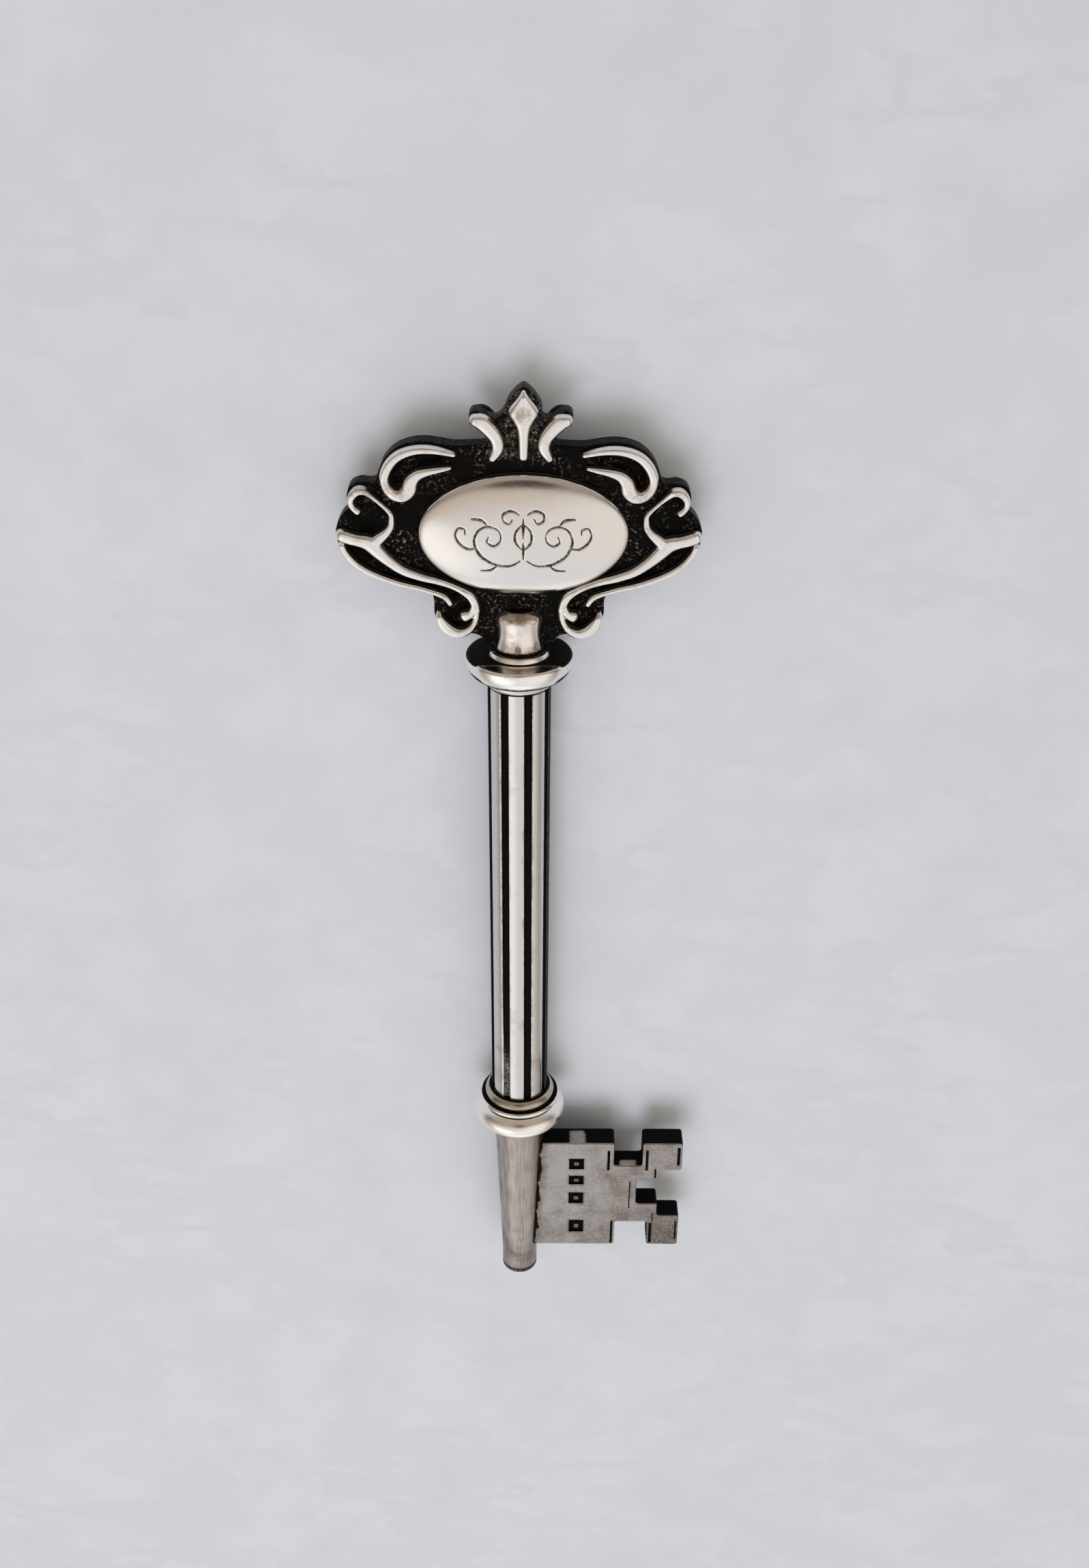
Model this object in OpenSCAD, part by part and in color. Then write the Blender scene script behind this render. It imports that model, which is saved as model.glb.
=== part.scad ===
// Ornamental key lying flat: a scrolled bow, a fluted shank between two turned collars,
// a tapered pin and a warded bit.
// The axis of the key is Y, the bow is at +Y, the bit points to +X and the front faces +Z.
// The origin is the middle of the pin's free end.

/* [Pin] */
// Length of the pin from its free end to the stop collar
pin_len = 26.2; // [24:0.1:34]
// Diameter of the straight nose at the free end
nose_d = 4.5; // [3.8:0.1:5]
// Length of the straight nose, with its rounded corner
nose_len = 3.2; // [1.5:0.1:4]
// Diameter of the pin where it meets the stop collar
pin_top_d = 6.2; // [5.4:0.1:6.8]
// Radius of the rounded corner at the free end
nose_round = 0.5; // [0.2:0.1:0.8]

/* [Bit] */
// Distance from the pin's free end to the bit
bit_start = 4.8; // [4.2:0.1:6]
// Length of the bit along the pin
bit_len = 17.7; // [16:0.1:18]
// Reach of the bit from the axis of the key
bit_reach = 20.8; // [19.5:0.1:24]
// Thickness of the bit
bit_thick = 3.0; // [2.4:0.1:3.4]
// Thickness of the tongue that is let into the pin
tongue_thick = 1.6; // [1.2:0.1:2]
// Depth that the tongue reaches past the axis side of the pin's surface
tongue_x = 0.7; // [0.4:0.1:1.2]
// Reach of the first ward slot on the bow side, from the axis
top_ward_x = 12.1; // [11:0.1:13]
// Width of the ward slot on the bow side
top_ward_w = 3.6; // [2.5:0.1:4]
// Depth of the ward slot on the bow side
top_ward_d = 3.8; // [2:0.1:4]
// Reach of the ward slot on the free side, from the axis
low_ward_x = 12.4; // [11:0.1:13]
// Width of the ward slot on the free side
low_ward_w = 4.3; // [3:0.1:4.5]
// Depth of the ward slot on the free side
low_ward_d = 4.1; // [2:0.1:4.2]
// Depth of the cut in the outer edge
edge_cut_d = 5.7; // [5:0.1:6]
// Height of the deep part of the cut in the outer edge
edge_cut_h = 4.3; // [3:0.1:4.5]
// Step by which the cut widens towards its mouth, on the bow side
cut_step_up = 1.6; // [0.5:0.1:1.8]
// Step by which the cut widens towards its mouth, on the free side
cut_step_down = 2.1; // [0.5:0.1:2.2]
// Depth of the widened mouth of the cut
cut_mouth_d = 2.9; // [1:0.1:3.2]
// Height of the deep cut's lower side above the bit's free side
edge_cut_start = 7.3; // [6.6:0.1:7.6]
// Width of a sunk punch mark
punch_w = 1.9; // [1:0.1:2.2]
// Height of a sunk punch mark
punch_h = 1.5; // [1:0.1:2]
// Depth of a sunk punch mark
punch_depth = 0.25; // [0.1:0.05:0.4]
// Distance of the punch marks from the axis
punch_x = 7.3; // [6:0.1:9]

/* [Stop collar] */
// Largest diameter of the stop collar
stop_d = 11.2; // [10:0.1:12.5]
// Length of the stop collar along the axis
stop_len = 3.3; // [3:0.1:5]
// Diameter of the bead above the stop collar
stop_bead_d = 9.8; // [9.4:0.1:9.9]
// Length of the bead above the stop collar
stop_bead_len = 0.75; // [0.5:0.05:1.2]
// Diameter of the gland ring that the shank stands on
gland_d = 8.5; // [8.2:0.1:9.2]
// Length of the gland ring
gland_len = 1.1; // [0.8:0.05:1.6]

/* [Shank] */
// Diameter of the shank over its lands
shank_d = 6.85; // [6.6:0.05:7.4]
// Length of the shank
shank_len = 56.0; // [40:0.5:80]
// Number of flutes
flute_count = 8; // [6:1:10]
// Width of a flute at the surface
flute_w = 0.9; // [0.5:0.05:1.1]
// Turn of the flutes about the axis
flute_turn = 17.5; // [0:0.5:45]
// Diameter of the dowels that hold the turned pieces on the axis
dowel_d = 3.4; // [2.8:0.1:3.8]
// Depth of the dowel holes in the ends of the shank
dowel_depth = 7.0; // [4:0.5:12]

/* [Bow collar] */
// Diameter of the bead between shank and bow collar
collar_bead_d = 7.4; // [7.2:0.1:8]
// Length of the bead between shank and bow collar
collar_bead_len = 1.1; // [0.8:0.1:1.8]
// Largest diameter of the bow collar
bow_collar_d = 11.45; // [10:0.05:13]
// Length of the bow collar along the axis
bow_collar_len = 2.5; // [2.2:0.05:4]
// Diameter of the fillet ring under the neck
fillet_d = 6.7; // [6.3:0.05:7.4]
// Length of the fillet ring
fillet_len = 0.55; // [0.4:0.05:1]

/* [Neck] */
// Length of the forked neck above the fillet ring, with its domed end
neck_len = 5.1; // [4.2:0.1:6]
// Length of the neck's domed end
neck_dome = 1.3; // [0.8:0.1:1.6]
// Diameter of the neck at its shoulder and at its foot
neck_d = 5.4; // [5.1:0.1:6]
// Diameter of the neck at its waist
neck_waist_d = 4.9; // [4:0.1:5]
// Height of the solid foot of the fork
neck_foot = 0.9; // [0.6:0.1:1.5]

/* [Bow] */
// Width of the oval boss, which sets the width of the whole bow
boss_w = 21.4; // [19:0.1:26]
// Height of the oval boss, which sets the height of the whole bow
boss_h = 13.0; // [12:0.1:16]
// Drop of the boss below the middle of the bow
boss_drop = 0.2; // [0:0.05:0.4]
// Sideways place of the boss and of the crest's bud, as hand work has it
boss_lean = 0.45; // [-0.5:0.05:0.5]
// Sideways place of the crest's petals, as hand work has it
crest_lean = 0.2; // [-0.5:0.05:0.5]
// Rise of the boss above the bow plate
boss_rise = 2.1; // [1:0.1:3]
// Height of the boss's upright edge
boss_edge = 0.5; // [0.2:0.1:0.8]
// Thickness of the bow plate
plate_thick = 2.3; // [1.8:0.1:2.6]
// Height of the scrolls above the bow plate
scroll_rise = 1.15; // [0.6:0.05:1.6]
// Width of a scroll at its normal stretch
scroll_w = 1.0; // [0.8:0.05:1.1]
// Gap from the lowest point of the volutes to the neck's foot
volute_gap = 1.85; // [1.5:0.05:3]

/* [Fit] */
// Gap around each dowel, tongue and slot
fit_gap = 0.04; // [0.02:0.01:0.1]

/* [Hidden] */

// Finishes
bright = [0.86, 0.83, 0.79];
satin = [0.62, 0.59, 0.57];
aged = [0.55, 0.51, 0.45];
oxide = [0.07, 0.065, 0.06];

// Heights of the punch marks above the bit's free side
punch_places = [3.6, 8.5, 11.6, 14.4];

// Roundness
fine = 96;
curl_sides = 8;
flute_sides = 24;
boss_sides = 64;
boss_layers = 6;
boss_top_layer = 0.5;
bead_steps = 8;
collar_steps = 14;
boss_slice = 0.02;
fit_overcut = 0.5;

// Width of a scroll's top as a share of its foot
scroll_top_share = 0.5;
// Depth of the stop collar's rounded edge as a share of half its length
stop_collar_bulge = 1.1;
// Radius of the bow collar's foot, and its outline: shares of its length and of its depth
bow_collar_foot_r = 4.2;
bow_collar_shape = [[0, 0], [0.03, 0.18], [0.1, 0.36], [0.22, 0.56], [0.38, 0.75], [0.56, 0.9],
    [0.72, 0.98], [0.85, 1], [0.93, 0.96], [0.98, 0.87], [1, 0.72], [1, 0]];
// Fullness of the neck's domed end
dome_power = 2.2;
// Narrowing and height of the gland ring's outline, as shares of its length
gland_shape = [[0, 0], [0, 0.35], [0.2, 0.75], [0.5, 1]];
// Size of the pellet in a punch mark, as shares of the mark
pellet_w_share = 0.38;
pellet_h_share = 0.35;
// How far the tongue runs into the bit
tongue_lap = 1;

// Places along the axis, from the pin's free end upwards
stop_y = pin_len;
stop_bead_y = stop_y + stop_len;
gland_y = stop_bead_y + stop_bead_len;
shank_y = gland_y + gland_len;
collar_bead_y = shank_y + shank_len;
bow_collar_y = collar_bead_y + collar_bead_len;
fillet_y = bow_collar_y + bow_collar_len;
neck_y = fillet_y + fillet_len;

// The bow is drawn on the boss: one unit of its points is 1 mm at these drawn sizes
drawn_boss_w = 21.4;
drawn_boss_h = 13.0;
drawn_volute_drop = 11.7;
bow_kx = boss_w / drawn_boss_w;
bow_ky = boss_h / drawn_boss_h;
bow_y = neck_y + volute_gap + drawn_volute_drop * bow_ky;
plate_half = plate_thick / 2;
plate_foot_y = neck_y + neck_foot;

// Each point of a scroll holds its place from the middle of the bow, then its width
// as a share of the normal width. The right half is drawn, and the left half mirrors it.
upper_scroll = [[6.4, 8.2, 0.5], [8.4, 8.65, 0.75], [10.2, 8.65, 0.85], [11.8, 8.1, 0.95],
    [12.85, 7.1, 1], [13.4, 5.8, 1], [13.2, 4.8, 1.05], [12.55, 4.1, 1.2], [11.7, 3.95, 1.45],
    [11.05, 4.5, 1.6], [10.75, 5.4, 1.45], [10.1, 6.1, 1.15], [9.0, 6.5, 0.85],
    [7.8, 6.7, 0.65], [6.8, 6.85, 0.4]];
ear_hook = [[16.2, 2.25, 0.75], [16.75, 2.8, 0.65], [16.8, 3.6, 0.75], [16.2, 4.35, 0.9],
    [15.5, 4.4, 0.8], [14.85, 3.9, 0.55], [14.2, 3.3, 0.45], [13.5, 2.65, 0.45],
    [12.9, 2.0, 0.6], [12.85, 1.35, 0.7], [12.95, 0.7, 0.8], [13.35, 0.1, 0.95],
    [14.0, -0.5, 1.15], [14.7, -1.1, 1.3]];
side_band = [[17.9, -0.35, 1.3], [17.1, -0.65, 1.35], [16.3, -0.85, 1.35], [15.3, -1.15, 1.6],
    [14.4, -2.0, 1.5], [13.4, -2.95, 1.25], [11.9, -4.05, 1.05], [10.1, -4.75, 0.9],
    [8.5, -5.2, 0.75], [7.0, -5.75, 0.65], [5.8, -6.35, 0.75], [4.95, -7.0, 1],
    [4.5, -8.0, 0.95], [4.4, -9.0, 0.65], [4.7, -10.0, 0.7], [5.3, -10.75, 0.9],
    [6.15, -11.1, 1.05], [7.0, -10.95, 1.2], [7.75, -10.35, 1.25], [8.2, -9.5, 0.95],
    [8.3, -8.8, 0.5]];
volute_hook = [[4.6, -8.0, 0.9], [4.95, -8.8, 0.9], [5.6, -9.15, 1.2]];
lower_lip = [[18.0, -1.4, 0.7], [17.6, -2.3, 0.7], [16.7, -3.4, 0.7], [15.4, -4.3, 0.7],
    [14.0, -4.95, 0.65], [12.2, -5.6, 0.6], [10.4, -6.05, 0.55], [8.9, -6.5, 0.55],
    [7.7, -7.0, 0.65], [7.1, -7.8, 0.6]];
crest_petal = [[4.5, 11.7, 1.15], [3.85, 11.5, 1.55], [3.1, 10.8, 1.5], [2.45, 9.9, 1.35],
    [2.3, 8.9, 1.25], [2.85, 7.9, 0.8]];
crest_bud = [[0, 14.5, 0.4], [0, 13.8, 1.3], [0, 13.1, 2.3], [0, 12.4, 2.85], [0, 11.7, 2.1],
    [0, 11.0, 1.4], [0, 10.1, 1.1], [0, 9.1, 1.0], [0, 8.1, 1.0]];
// Right half of the bow plate's outline: round the bud, round the petal, then to the foot
bud_edge = [[0, 14.95], [0.75, 14.4], [1.5, 13.45], [1.85, 12.6]];
crest_edge = [[2.0, 12.0], [2.5, 11.7], [3.1, 11.85], [3.9, 12.35], [4.75, 12.4], [5.15, 11.85],
    [4.85, 11.2], [3.95, 10.6], [3.25, 9.7], [3.6, 9.1]];
plate_edge = [[5.2, 8.95], [6.6, 8.95], [8.4, 9.25],
    [10.3, 9.3], [12.1, 8.7], [13.4, 7.5], [14.05, 6.1], [14.4, 5.2], [15.1, 5.05],
    [16.1, 5.1], [17.0, 4.6], [17.35, 3.5], [17.15, 2.45], [17.9, 1.6], [18.45, 0.6],
    [18.65, -0.4], [18.45, -1.5], [18.0, -2.6], [17.0, -3.8], [15.6, -4.75], [14.1, -5.4],
    [12.3, -6.0], [10.5, -6.45], [9.2, -6.9], [8.85, -7.8], [8.85, -9.1], [8.5, -10.3],
    [7.5, -11.35], [6.1, -11.7], [4.95, -11.55], [4.2, -11.75], [3.7, -12.15]];
curve_steps = 2;

// A smooth curve through the points: the value a share t of the way from b to c
function curve_at(a, b, c, d, t) =
    0.5 * (2 * b + (c - a) * t + (2 * a - 5 * b + 4 * c - d) * t * t
    + (3 * b - 3 * c + d - a) * t * t * t);
function curve(points, steps) = concat(
    [for (i = [0 : len(points) - 2], s = [0 : steps - 1])
        curve_at(points[max(i - 1, 0)], points[i], points[i + 1],
            points[min(i + 2, len(points) - 1)], s / steps)],
    [points[len(points) - 1]]);

// Points of a round bead's edge, from its foot at start to its end at stop
function bead_edge(middle, half_len, base_r, top_r, steps) =
    [for (s = [0 : steps]) let (turn = 180 * s / steps)
        [base_r + (top_r - base_r) * sin(turn), middle - half_len * cos(turn)]];

// Places a drawing made around Z on the axis of the key, which is Y
module on_axis() {
    rotate([-90, 0, 0]) children();
}

// A turned piece: points are radius and height, from the lower end to the upper end
module turned(points) {
    on_axis()
        rotate_extrude($fn = fine)
            polygon(concat([[0, points[0][1]]], points, [[0, points[len(points) - 1][1]]]));
}

module dowel_hole(start, depth) {
    translate([0, start, 0])
        on_axis()
            cylinder(h = depth, d = dowel_d + 2 * fit_gap, $fn = fine);
}

module through_hole(start, depth) {
    dowel_hole(start - fit_overcut, depth + 2 * fit_overcut);
}

// One round-topped button of a scroll
module scroll_button(point) {
    foot_r = scroll_w * point[2] / 2;
    translate([point[0] * bow_kx, bow_y + point[1] * bow_ky, plate_half])
        cylinder(h = scroll_rise, r1 = foot_r, r2 = foot_r * scroll_top_share, $fn = curl_sides);
}

module scroll(points) {
    path = curve(points, curve_steps);
    for (i = [0 : len(path) - 2])
        hull() {
            scroll_button(path[i]);
            scroll_button(path[i + 1]);
        }
}

module both_sides() {
    children();
    mirror([1, 0, 0]) children();
}

module back_of_bow() {
    mirror([0, 0, 1]) children();
}

module upper_scrolls() {
    both_sides() scroll(upper_scroll);
}

module side_scrolls() {
    both_sides() {
        scroll(ear_hook);
        scroll(side_band);
        scroll(volute_hook);
    }
}

module lower_lips() {
    both_sides() scroll(lower_lip);
}

module crest() {
    translate([boss_lean, 0, 0]) scroll(crest_bud);
    translate([crest_lean, 0, 0]) both_sides() scroll(crest_petal);
}

// One thin oval slice of the boss, narrowed to a share of its full size
module boss_slice_at(height, share, thickness) {
    translate([0, 0, height])
        scale([boss_w / 2 * share, boss_h / 2 * share, 1])
            cylinder(h = thickness, r = 1, $fn = boss_sides);
}

// An oval dome with a short upright edge
module boss() {
    dome_rise = boss_rise - boss_edge - boss_slice;
    translate([boss_lean, bow_y - boss_drop, plate_half])
        hull() {
            boss_slice_at(0, 1, boss_edge);
            for (s = [1 : boss_layers]) {
                turn = 90 * s / (boss_layers + boss_top_layer);
                boss_slice_at(boss_edge + dome_rise * sin(turn), cos(turn), boss_slice);
            }
        }
}

// One side of the plate's outline, where side is 1 for the right and -1 for the left
function plate_side(side) = concat(
    [for (p = bud_edge) [boss_lean + side * p[0] * bow_kx, bow_y + p[1] * bow_ky]],
    [for (p = crest_edge) [crest_lean + side * p[0] * bow_kx, bow_y + p[1] * bow_ky]],
    [for (p = plate_edge) [side * p[0] * bow_kx, bow_y + p[1] * bow_ky]]);

module bow_plate() {
    right = curve(plate_side(1), curve_steps);
    left = curve(plate_side(-1), curve_steps);
    foot_y = plate_foot_y + fit_gap;
    right_foot = [[right[len(right) - 1][0], foot_y]];
    left_foot = [[left[len(left) - 1][0], foot_y]];
    left_back = [for (i = [len(left) - 1 : -1 : 1]) left[i]];
    color(oxide)
        translate([0, 0, -plate_half])
            linear_extrude(height = plate_thick)
                polygon(concat(right, right_foot, left_foot, left_back));
}

module front_boss() {
    color(bright) boss();
}

module back_boss() {
    color(bright) back_of_bow() boss();
}

module front_crest() {
    color(bright) crest();
}

module back_crest() {
    color(bright) back_of_bow() crest();
}

module front_upper_scrolls() {
    color(bright) upper_scrolls();
}

module back_upper_scrolls() {
    color(bright) back_of_bow() upper_scrolls();
}

module front_side_scrolls() {
    color(bright) side_scrolls();
}

module back_side_scrolls() {
    color(bright) back_of_bow() side_scrolls();
}

module front_lower_lips() {
    color(bright) lower_lips();
}

module back_lower_lips() {
    color(bright) back_of_bow() lower_lips();
}

// Points of the neck's edge: its waist, then its domed end
function neck_edge(foot_r, waist_r, steps) = let (waist_len = neck_len - neck_dome) concat(
    [for (s = [0 : steps])
        [foot_r - (foot_r - waist_r) * sin(180 * s / steps), neck_y + waist_len * s / steps]],
    [for (s = [1 : steps]) let (rise = sin(90 * s / steps))
        [foot_r * pow(1 - pow(rise, dome_power), 1 / dome_power),
            neck_y + waist_len + neck_dome * rise]]);

// A waisted socket with a domed end that grips the bow plate like a fork, with a dowel below it
module neck_fork() {
    dowel_len = fillet_len + bow_collar_len + collar_bead_len + dowel_depth - 2 * fit_gap;
    color(bright)
        difference() {
            union() {
                turned(neck_edge(neck_d / 2, neck_waist_d / 2, bead_steps));
                translate([0, neck_y - dowel_len, 0])
                    on_axis()
                        cylinder(h = dowel_len + neck_foot / 2, d = dowel_d, $fn = fine);
            }
            translate([-neck_d, plate_foot_y, -plate_half - fit_gap])
                cube([2 * neck_d, neck_len, plate_thick + 2 * fit_gap]);
        }
}

module neck_fillet() {
    color(bright)
        difference() {
            turned(bead_edge(fillet_y + fillet_len / 2, fillet_len / 2,
                fillet_d / 2 - fillet_len / 2, fillet_d / 2, bead_steps));
            through_hole(fillet_y, fillet_len);
        }
}

module bow_collar() {
    depth = bow_collar_d / 2 - bow_collar_foot_r;
    color(bright)
        difference() {
            turned([for (p = bow_collar_shape)
                [bow_collar_foot_r + depth * p[1], bow_collar_y + bow_collar_len * p[0]]]);
            through_hole(bow_collar_y, bow_collar_len);
        }
}

module collar_bead() {
    color(aged)
        difference() {
            turned(bead_edge(collar_bead_y + collar_bead_len / 2, collar_bead_len / 2,
                collar_bead_d / 2 - collar_bead_len / 2, collar_bead_d / 2, bead_steps));
            through_hole(collar_bead_y, collar_bead_len);
        }
}

module shank() {
    flute_r = flute_w / 2;
    color(bright)
        difference() {
            translate([0, shank_y, 0])
                on_axis()
                    cylinder(h = shank_len, d = shank_d, $fn = fine);
            for (i = [0 : flute_count - 1])
                rotate([0, 360 / flute_count * i + flute_turn, 0])
                    translate([0, shank_y - fit_overcut, shank_d / 2])
                        on_axis()
                            cylinder(h = shank_len + 2 * fit_overcut, r = flute_r, $fn = flute_sides);
            dowel_hole(shank_y - fit_overcut, dowel_depth + fit_overcut);
            dowel_hole(shank_y + shank_len - dowel_depth, dowel_depth + fit_overcut);
        }
}

module stop_gland() {
    color(aged)
        difference() {
            turned([for (p = gland_shape)
                [gland_d / 2 - gland_len * p[0], gland_y + gland_len * p[1]]]);
            through_hole(gland_y, gland_len);
        }
}

module stop_bead() {
    color(bright)
        difference() {
            turned(bead_edge(stop_bead_y + stop_bead_len / 2, stop_bead_len / 2,
                stop_bead_d / 2 - stop_bead_len / 2, stop_bead_d / 2, bead_steps));
            through_hole(stop_bead_y, stop_bead_len);
        }
}

module stop_collar() {
    edge_r = stop_len / 2 * stop_collar_bulge;
    color(bright)
        difference() {
            turned(bead_edge(stop_y + stop_len / 2, stop_len / 2,
                stop_d / 2 - edge_r, stop_d / 2, collar_steps));
            through_hole(stop_y, stop_len);
        }
}

// The straight nose with its rounded corner and the tapered body of the pin,
// made wider all round by grow
module pin_body(grow) {
    steps = 5;
    corner = [for (s = [0 : steps]) let (turn = 90 * s / steps)
        [nose_d / 2 + grow - nose_round * (1 - sin(turn)), nose_round * (1 - cos(turn))]];
    turned(concat(corner, [[nose_d / 2 + grow, nose_len], [pin_top_d / 2 + grow, pin_len]]));
}

module pin() {
    dowel_len = stop_len + stop_bead_len + gland_len + dowel_depth - 2 * fit_gap;
    color(satin)
        difference() {
            union() {
                pin_body(0);
                translate([0, pin_len - fit_overcut, 0])
                    on_axis()
                        cylinder(h = dowel_len + fit_overcut, d = dowel_d, $fn = fine);
            }
            translate([tongue_x - fit_gap, bit_start - fit_gap, -tongue_thick / 2 - fit_gap])
                cube([pin_top_d, bit_len + 2 * fit_gap, tongue_thick + 2 * fit_gap]);
        }
}

// A rectangle of the bit, from its corner nearest the axis and the free end
module bit_block(x, y, w, h) {
    translate([x, y, -bit_thick / 2 - fit_overcut])
        cube([w, h, bit_thick + 2 * fit_overcut]);
}

// A sunk rectangle with a plain raised pellet in the middle
module punch_mark(y, h) {
    pellet = [punch_w * pellet_w_share, h * pellet_h_share, 4 * punch_depth];
    translate([punch_x, y, bit_thick / 2])
        difference() {
            cube([punch_w, h, 2 * punch_depth], center = true);
            cube(pellet, center = true);
        }
}

module bit() {
    bit_top = bit_start + bit_len;
    cut_y = bit_start + edge_cut_start;
    color(satin)
        difference() {
            union() {
                difference() {
                    translate([0, bit_start, -bit_thick / 2])
                        cube([bit_reach, bit_len, bit_thick]);
                    pin_body(fit_gap);
                }
                translate([tongue_x, bit_start, -tongue_thick / 2])
                    cube([pin_top_d / 2 + tongue_lap, bit_len, tongue_thick]);
            }
            translate([-pin_top_d, bit_start - fit_overcut, -bit_thick])
                cube([pin_top_d + tongue_x, bit_len + 2 * fit_overcut, 2 * bit_thick]);
            bit_block(top_ward_x, bit_top - top_ward_d, top_ward_w, top_ward_d + fit_overcut);
            bit_block(low_ward_x, bit_start - fit_overcut, low_ward_w, low_ward_d + fit_overcut);
            bit_block(bit_reach - edge_cut_d, cut_y, edge_cut_d + fit_overcut, edge_cut_h);
            bit_block(bit_reach - cut_mouth_d, cut_y - cut_step_down, cut_mouth_d + fit_overcut,
                edge_cut_h + cut_step_down + cut_step_up);
            for (place = punch_places)
                punch_mark(bit_start + place, punch_h);
        }
}

bow_plate();
front_boss();
back_boss();
front_crest();
back_crest();
front_upper_scrolls();
back_upper_scrolls();
front_side_scrolls();
back_side_scrolls();
front_lower_lips();
back_lower_lips();
neck_fork();
neck_fillet();
bow_collar();
collar_bead();
shank();
stop_gland();
stop_bead();
stop_collar();
pin();
bit();
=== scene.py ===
"""An ornamental silver key lying flat: scrolled bow, fluted shank, turned collars, warded bit."""
import logging
import math
from dataclasses import dataclass
from enum import Enum
from typing import Any, Callable, Sequence

import bmesh
import bpy
import numpy as np
from mathutils import Matrix, Vector


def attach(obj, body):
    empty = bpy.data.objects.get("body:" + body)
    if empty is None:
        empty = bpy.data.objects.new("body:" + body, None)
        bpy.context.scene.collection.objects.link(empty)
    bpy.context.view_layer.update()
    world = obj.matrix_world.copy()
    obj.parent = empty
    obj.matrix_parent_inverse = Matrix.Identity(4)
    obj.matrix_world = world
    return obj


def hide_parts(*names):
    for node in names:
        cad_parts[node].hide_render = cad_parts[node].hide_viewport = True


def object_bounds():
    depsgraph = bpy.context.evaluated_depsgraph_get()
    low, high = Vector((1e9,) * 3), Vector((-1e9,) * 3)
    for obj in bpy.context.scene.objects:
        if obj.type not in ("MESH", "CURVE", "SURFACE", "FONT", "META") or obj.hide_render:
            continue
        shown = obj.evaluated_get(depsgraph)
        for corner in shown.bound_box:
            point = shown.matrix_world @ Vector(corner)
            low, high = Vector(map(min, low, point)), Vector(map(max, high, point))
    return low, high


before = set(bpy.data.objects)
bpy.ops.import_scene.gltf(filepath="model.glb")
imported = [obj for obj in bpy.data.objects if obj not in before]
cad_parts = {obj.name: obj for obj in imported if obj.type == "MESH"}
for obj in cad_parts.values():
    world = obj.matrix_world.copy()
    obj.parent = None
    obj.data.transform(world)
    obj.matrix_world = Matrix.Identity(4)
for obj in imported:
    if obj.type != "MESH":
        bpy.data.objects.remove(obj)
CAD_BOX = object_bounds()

MM = 0.001
BODY = "root"
GRIME = "grime"
MERGE_DISTANCE = 1e-5
BOTH_SIDES = (1, -1)
IN_THE_MIDDLE = (1,)
FRONT_TO_BACK = Matrix.Diagonal((1.0, 1.0, -1.0, 1.0))

Colour = tuple[float, float, float]
Way = tuple[float, float, float]
Spot = tuple[float, float]
Span = tuple[float, float]
Frame = tuple[float, float, float, float]
Stroke = Sequence[tuple[float, float, float]]
Station = tuple[np.ndarray, np.ndarray, float, float]
Rule = Callable[[np.ndarray, np.ndarray], np.ndarray]

log = logging.getLogger("key")


class Slot(Enum):
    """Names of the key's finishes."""

    BRIGHT = "bright_silver"
    AGED = "aged_silver"
    SATIN = "satin_silver"
    GROUND = "oxidised_ground"


# Node arithmetic and finishes


class Wire:
    """One output of a node, on which Python's arithmetic adds Math nodes."""

    def __init__(self, recipe: "Recipe", socket: bpy.types.NodeSocket) -> None:
        """Keep the socket and the recipe that it belongs to."""
        self.recipe = recipe
        self.socket = socket

    def _maths(self, operation: str, first: Any, second: Any, clamp: bool = False) -> "Wire":
        """Add one Math node to the recipe."""
        settings = {"operation": operation, "use_clamp": clamp}
        return self.recipe.node("ShaderNodeMath", settings, {0: first, 1: second})

    def __add__(self, other: Any) -> "Wire":
        """Sum of this wire and another value."""
        return self._maths("ADD", self, other)

    __radd__ = __add__

    def __sub__(self, other: Any) -> "Wire":
        """This wire less another value."""
        return self._maths("SUBTRACT", self, other)

    def __rsub__(self, other: Any) -> "Wire":
        """Another value less this wire."""
        return self._maths("SUBTRACT", other, self)

    def __mul__(self, other: Any) -> "Wire":
        """Product of this wire and another value."""
        return self._maths("MULTIPLY", self, other)

    __rmul__ = __mul__

    def clamp(self) -> "Wire":
        """This wire held between 0 and 1."""
        return self._maths("ADD", self, 0.0, clamp=True)

    def ease(self, low: float, high: float) -> "Wire":
        """A smooth step that is 0 at low and 1 at high."""
        sockets = {"Value": self, "From Min": low, "From Max": high, "To Min": 0.0, "To Max": 1.0}
        return self.recipe.node("ShaderNodeMapRange", {"interpolation_type": "SMOOTHSTEP"}, sockets)


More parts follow.
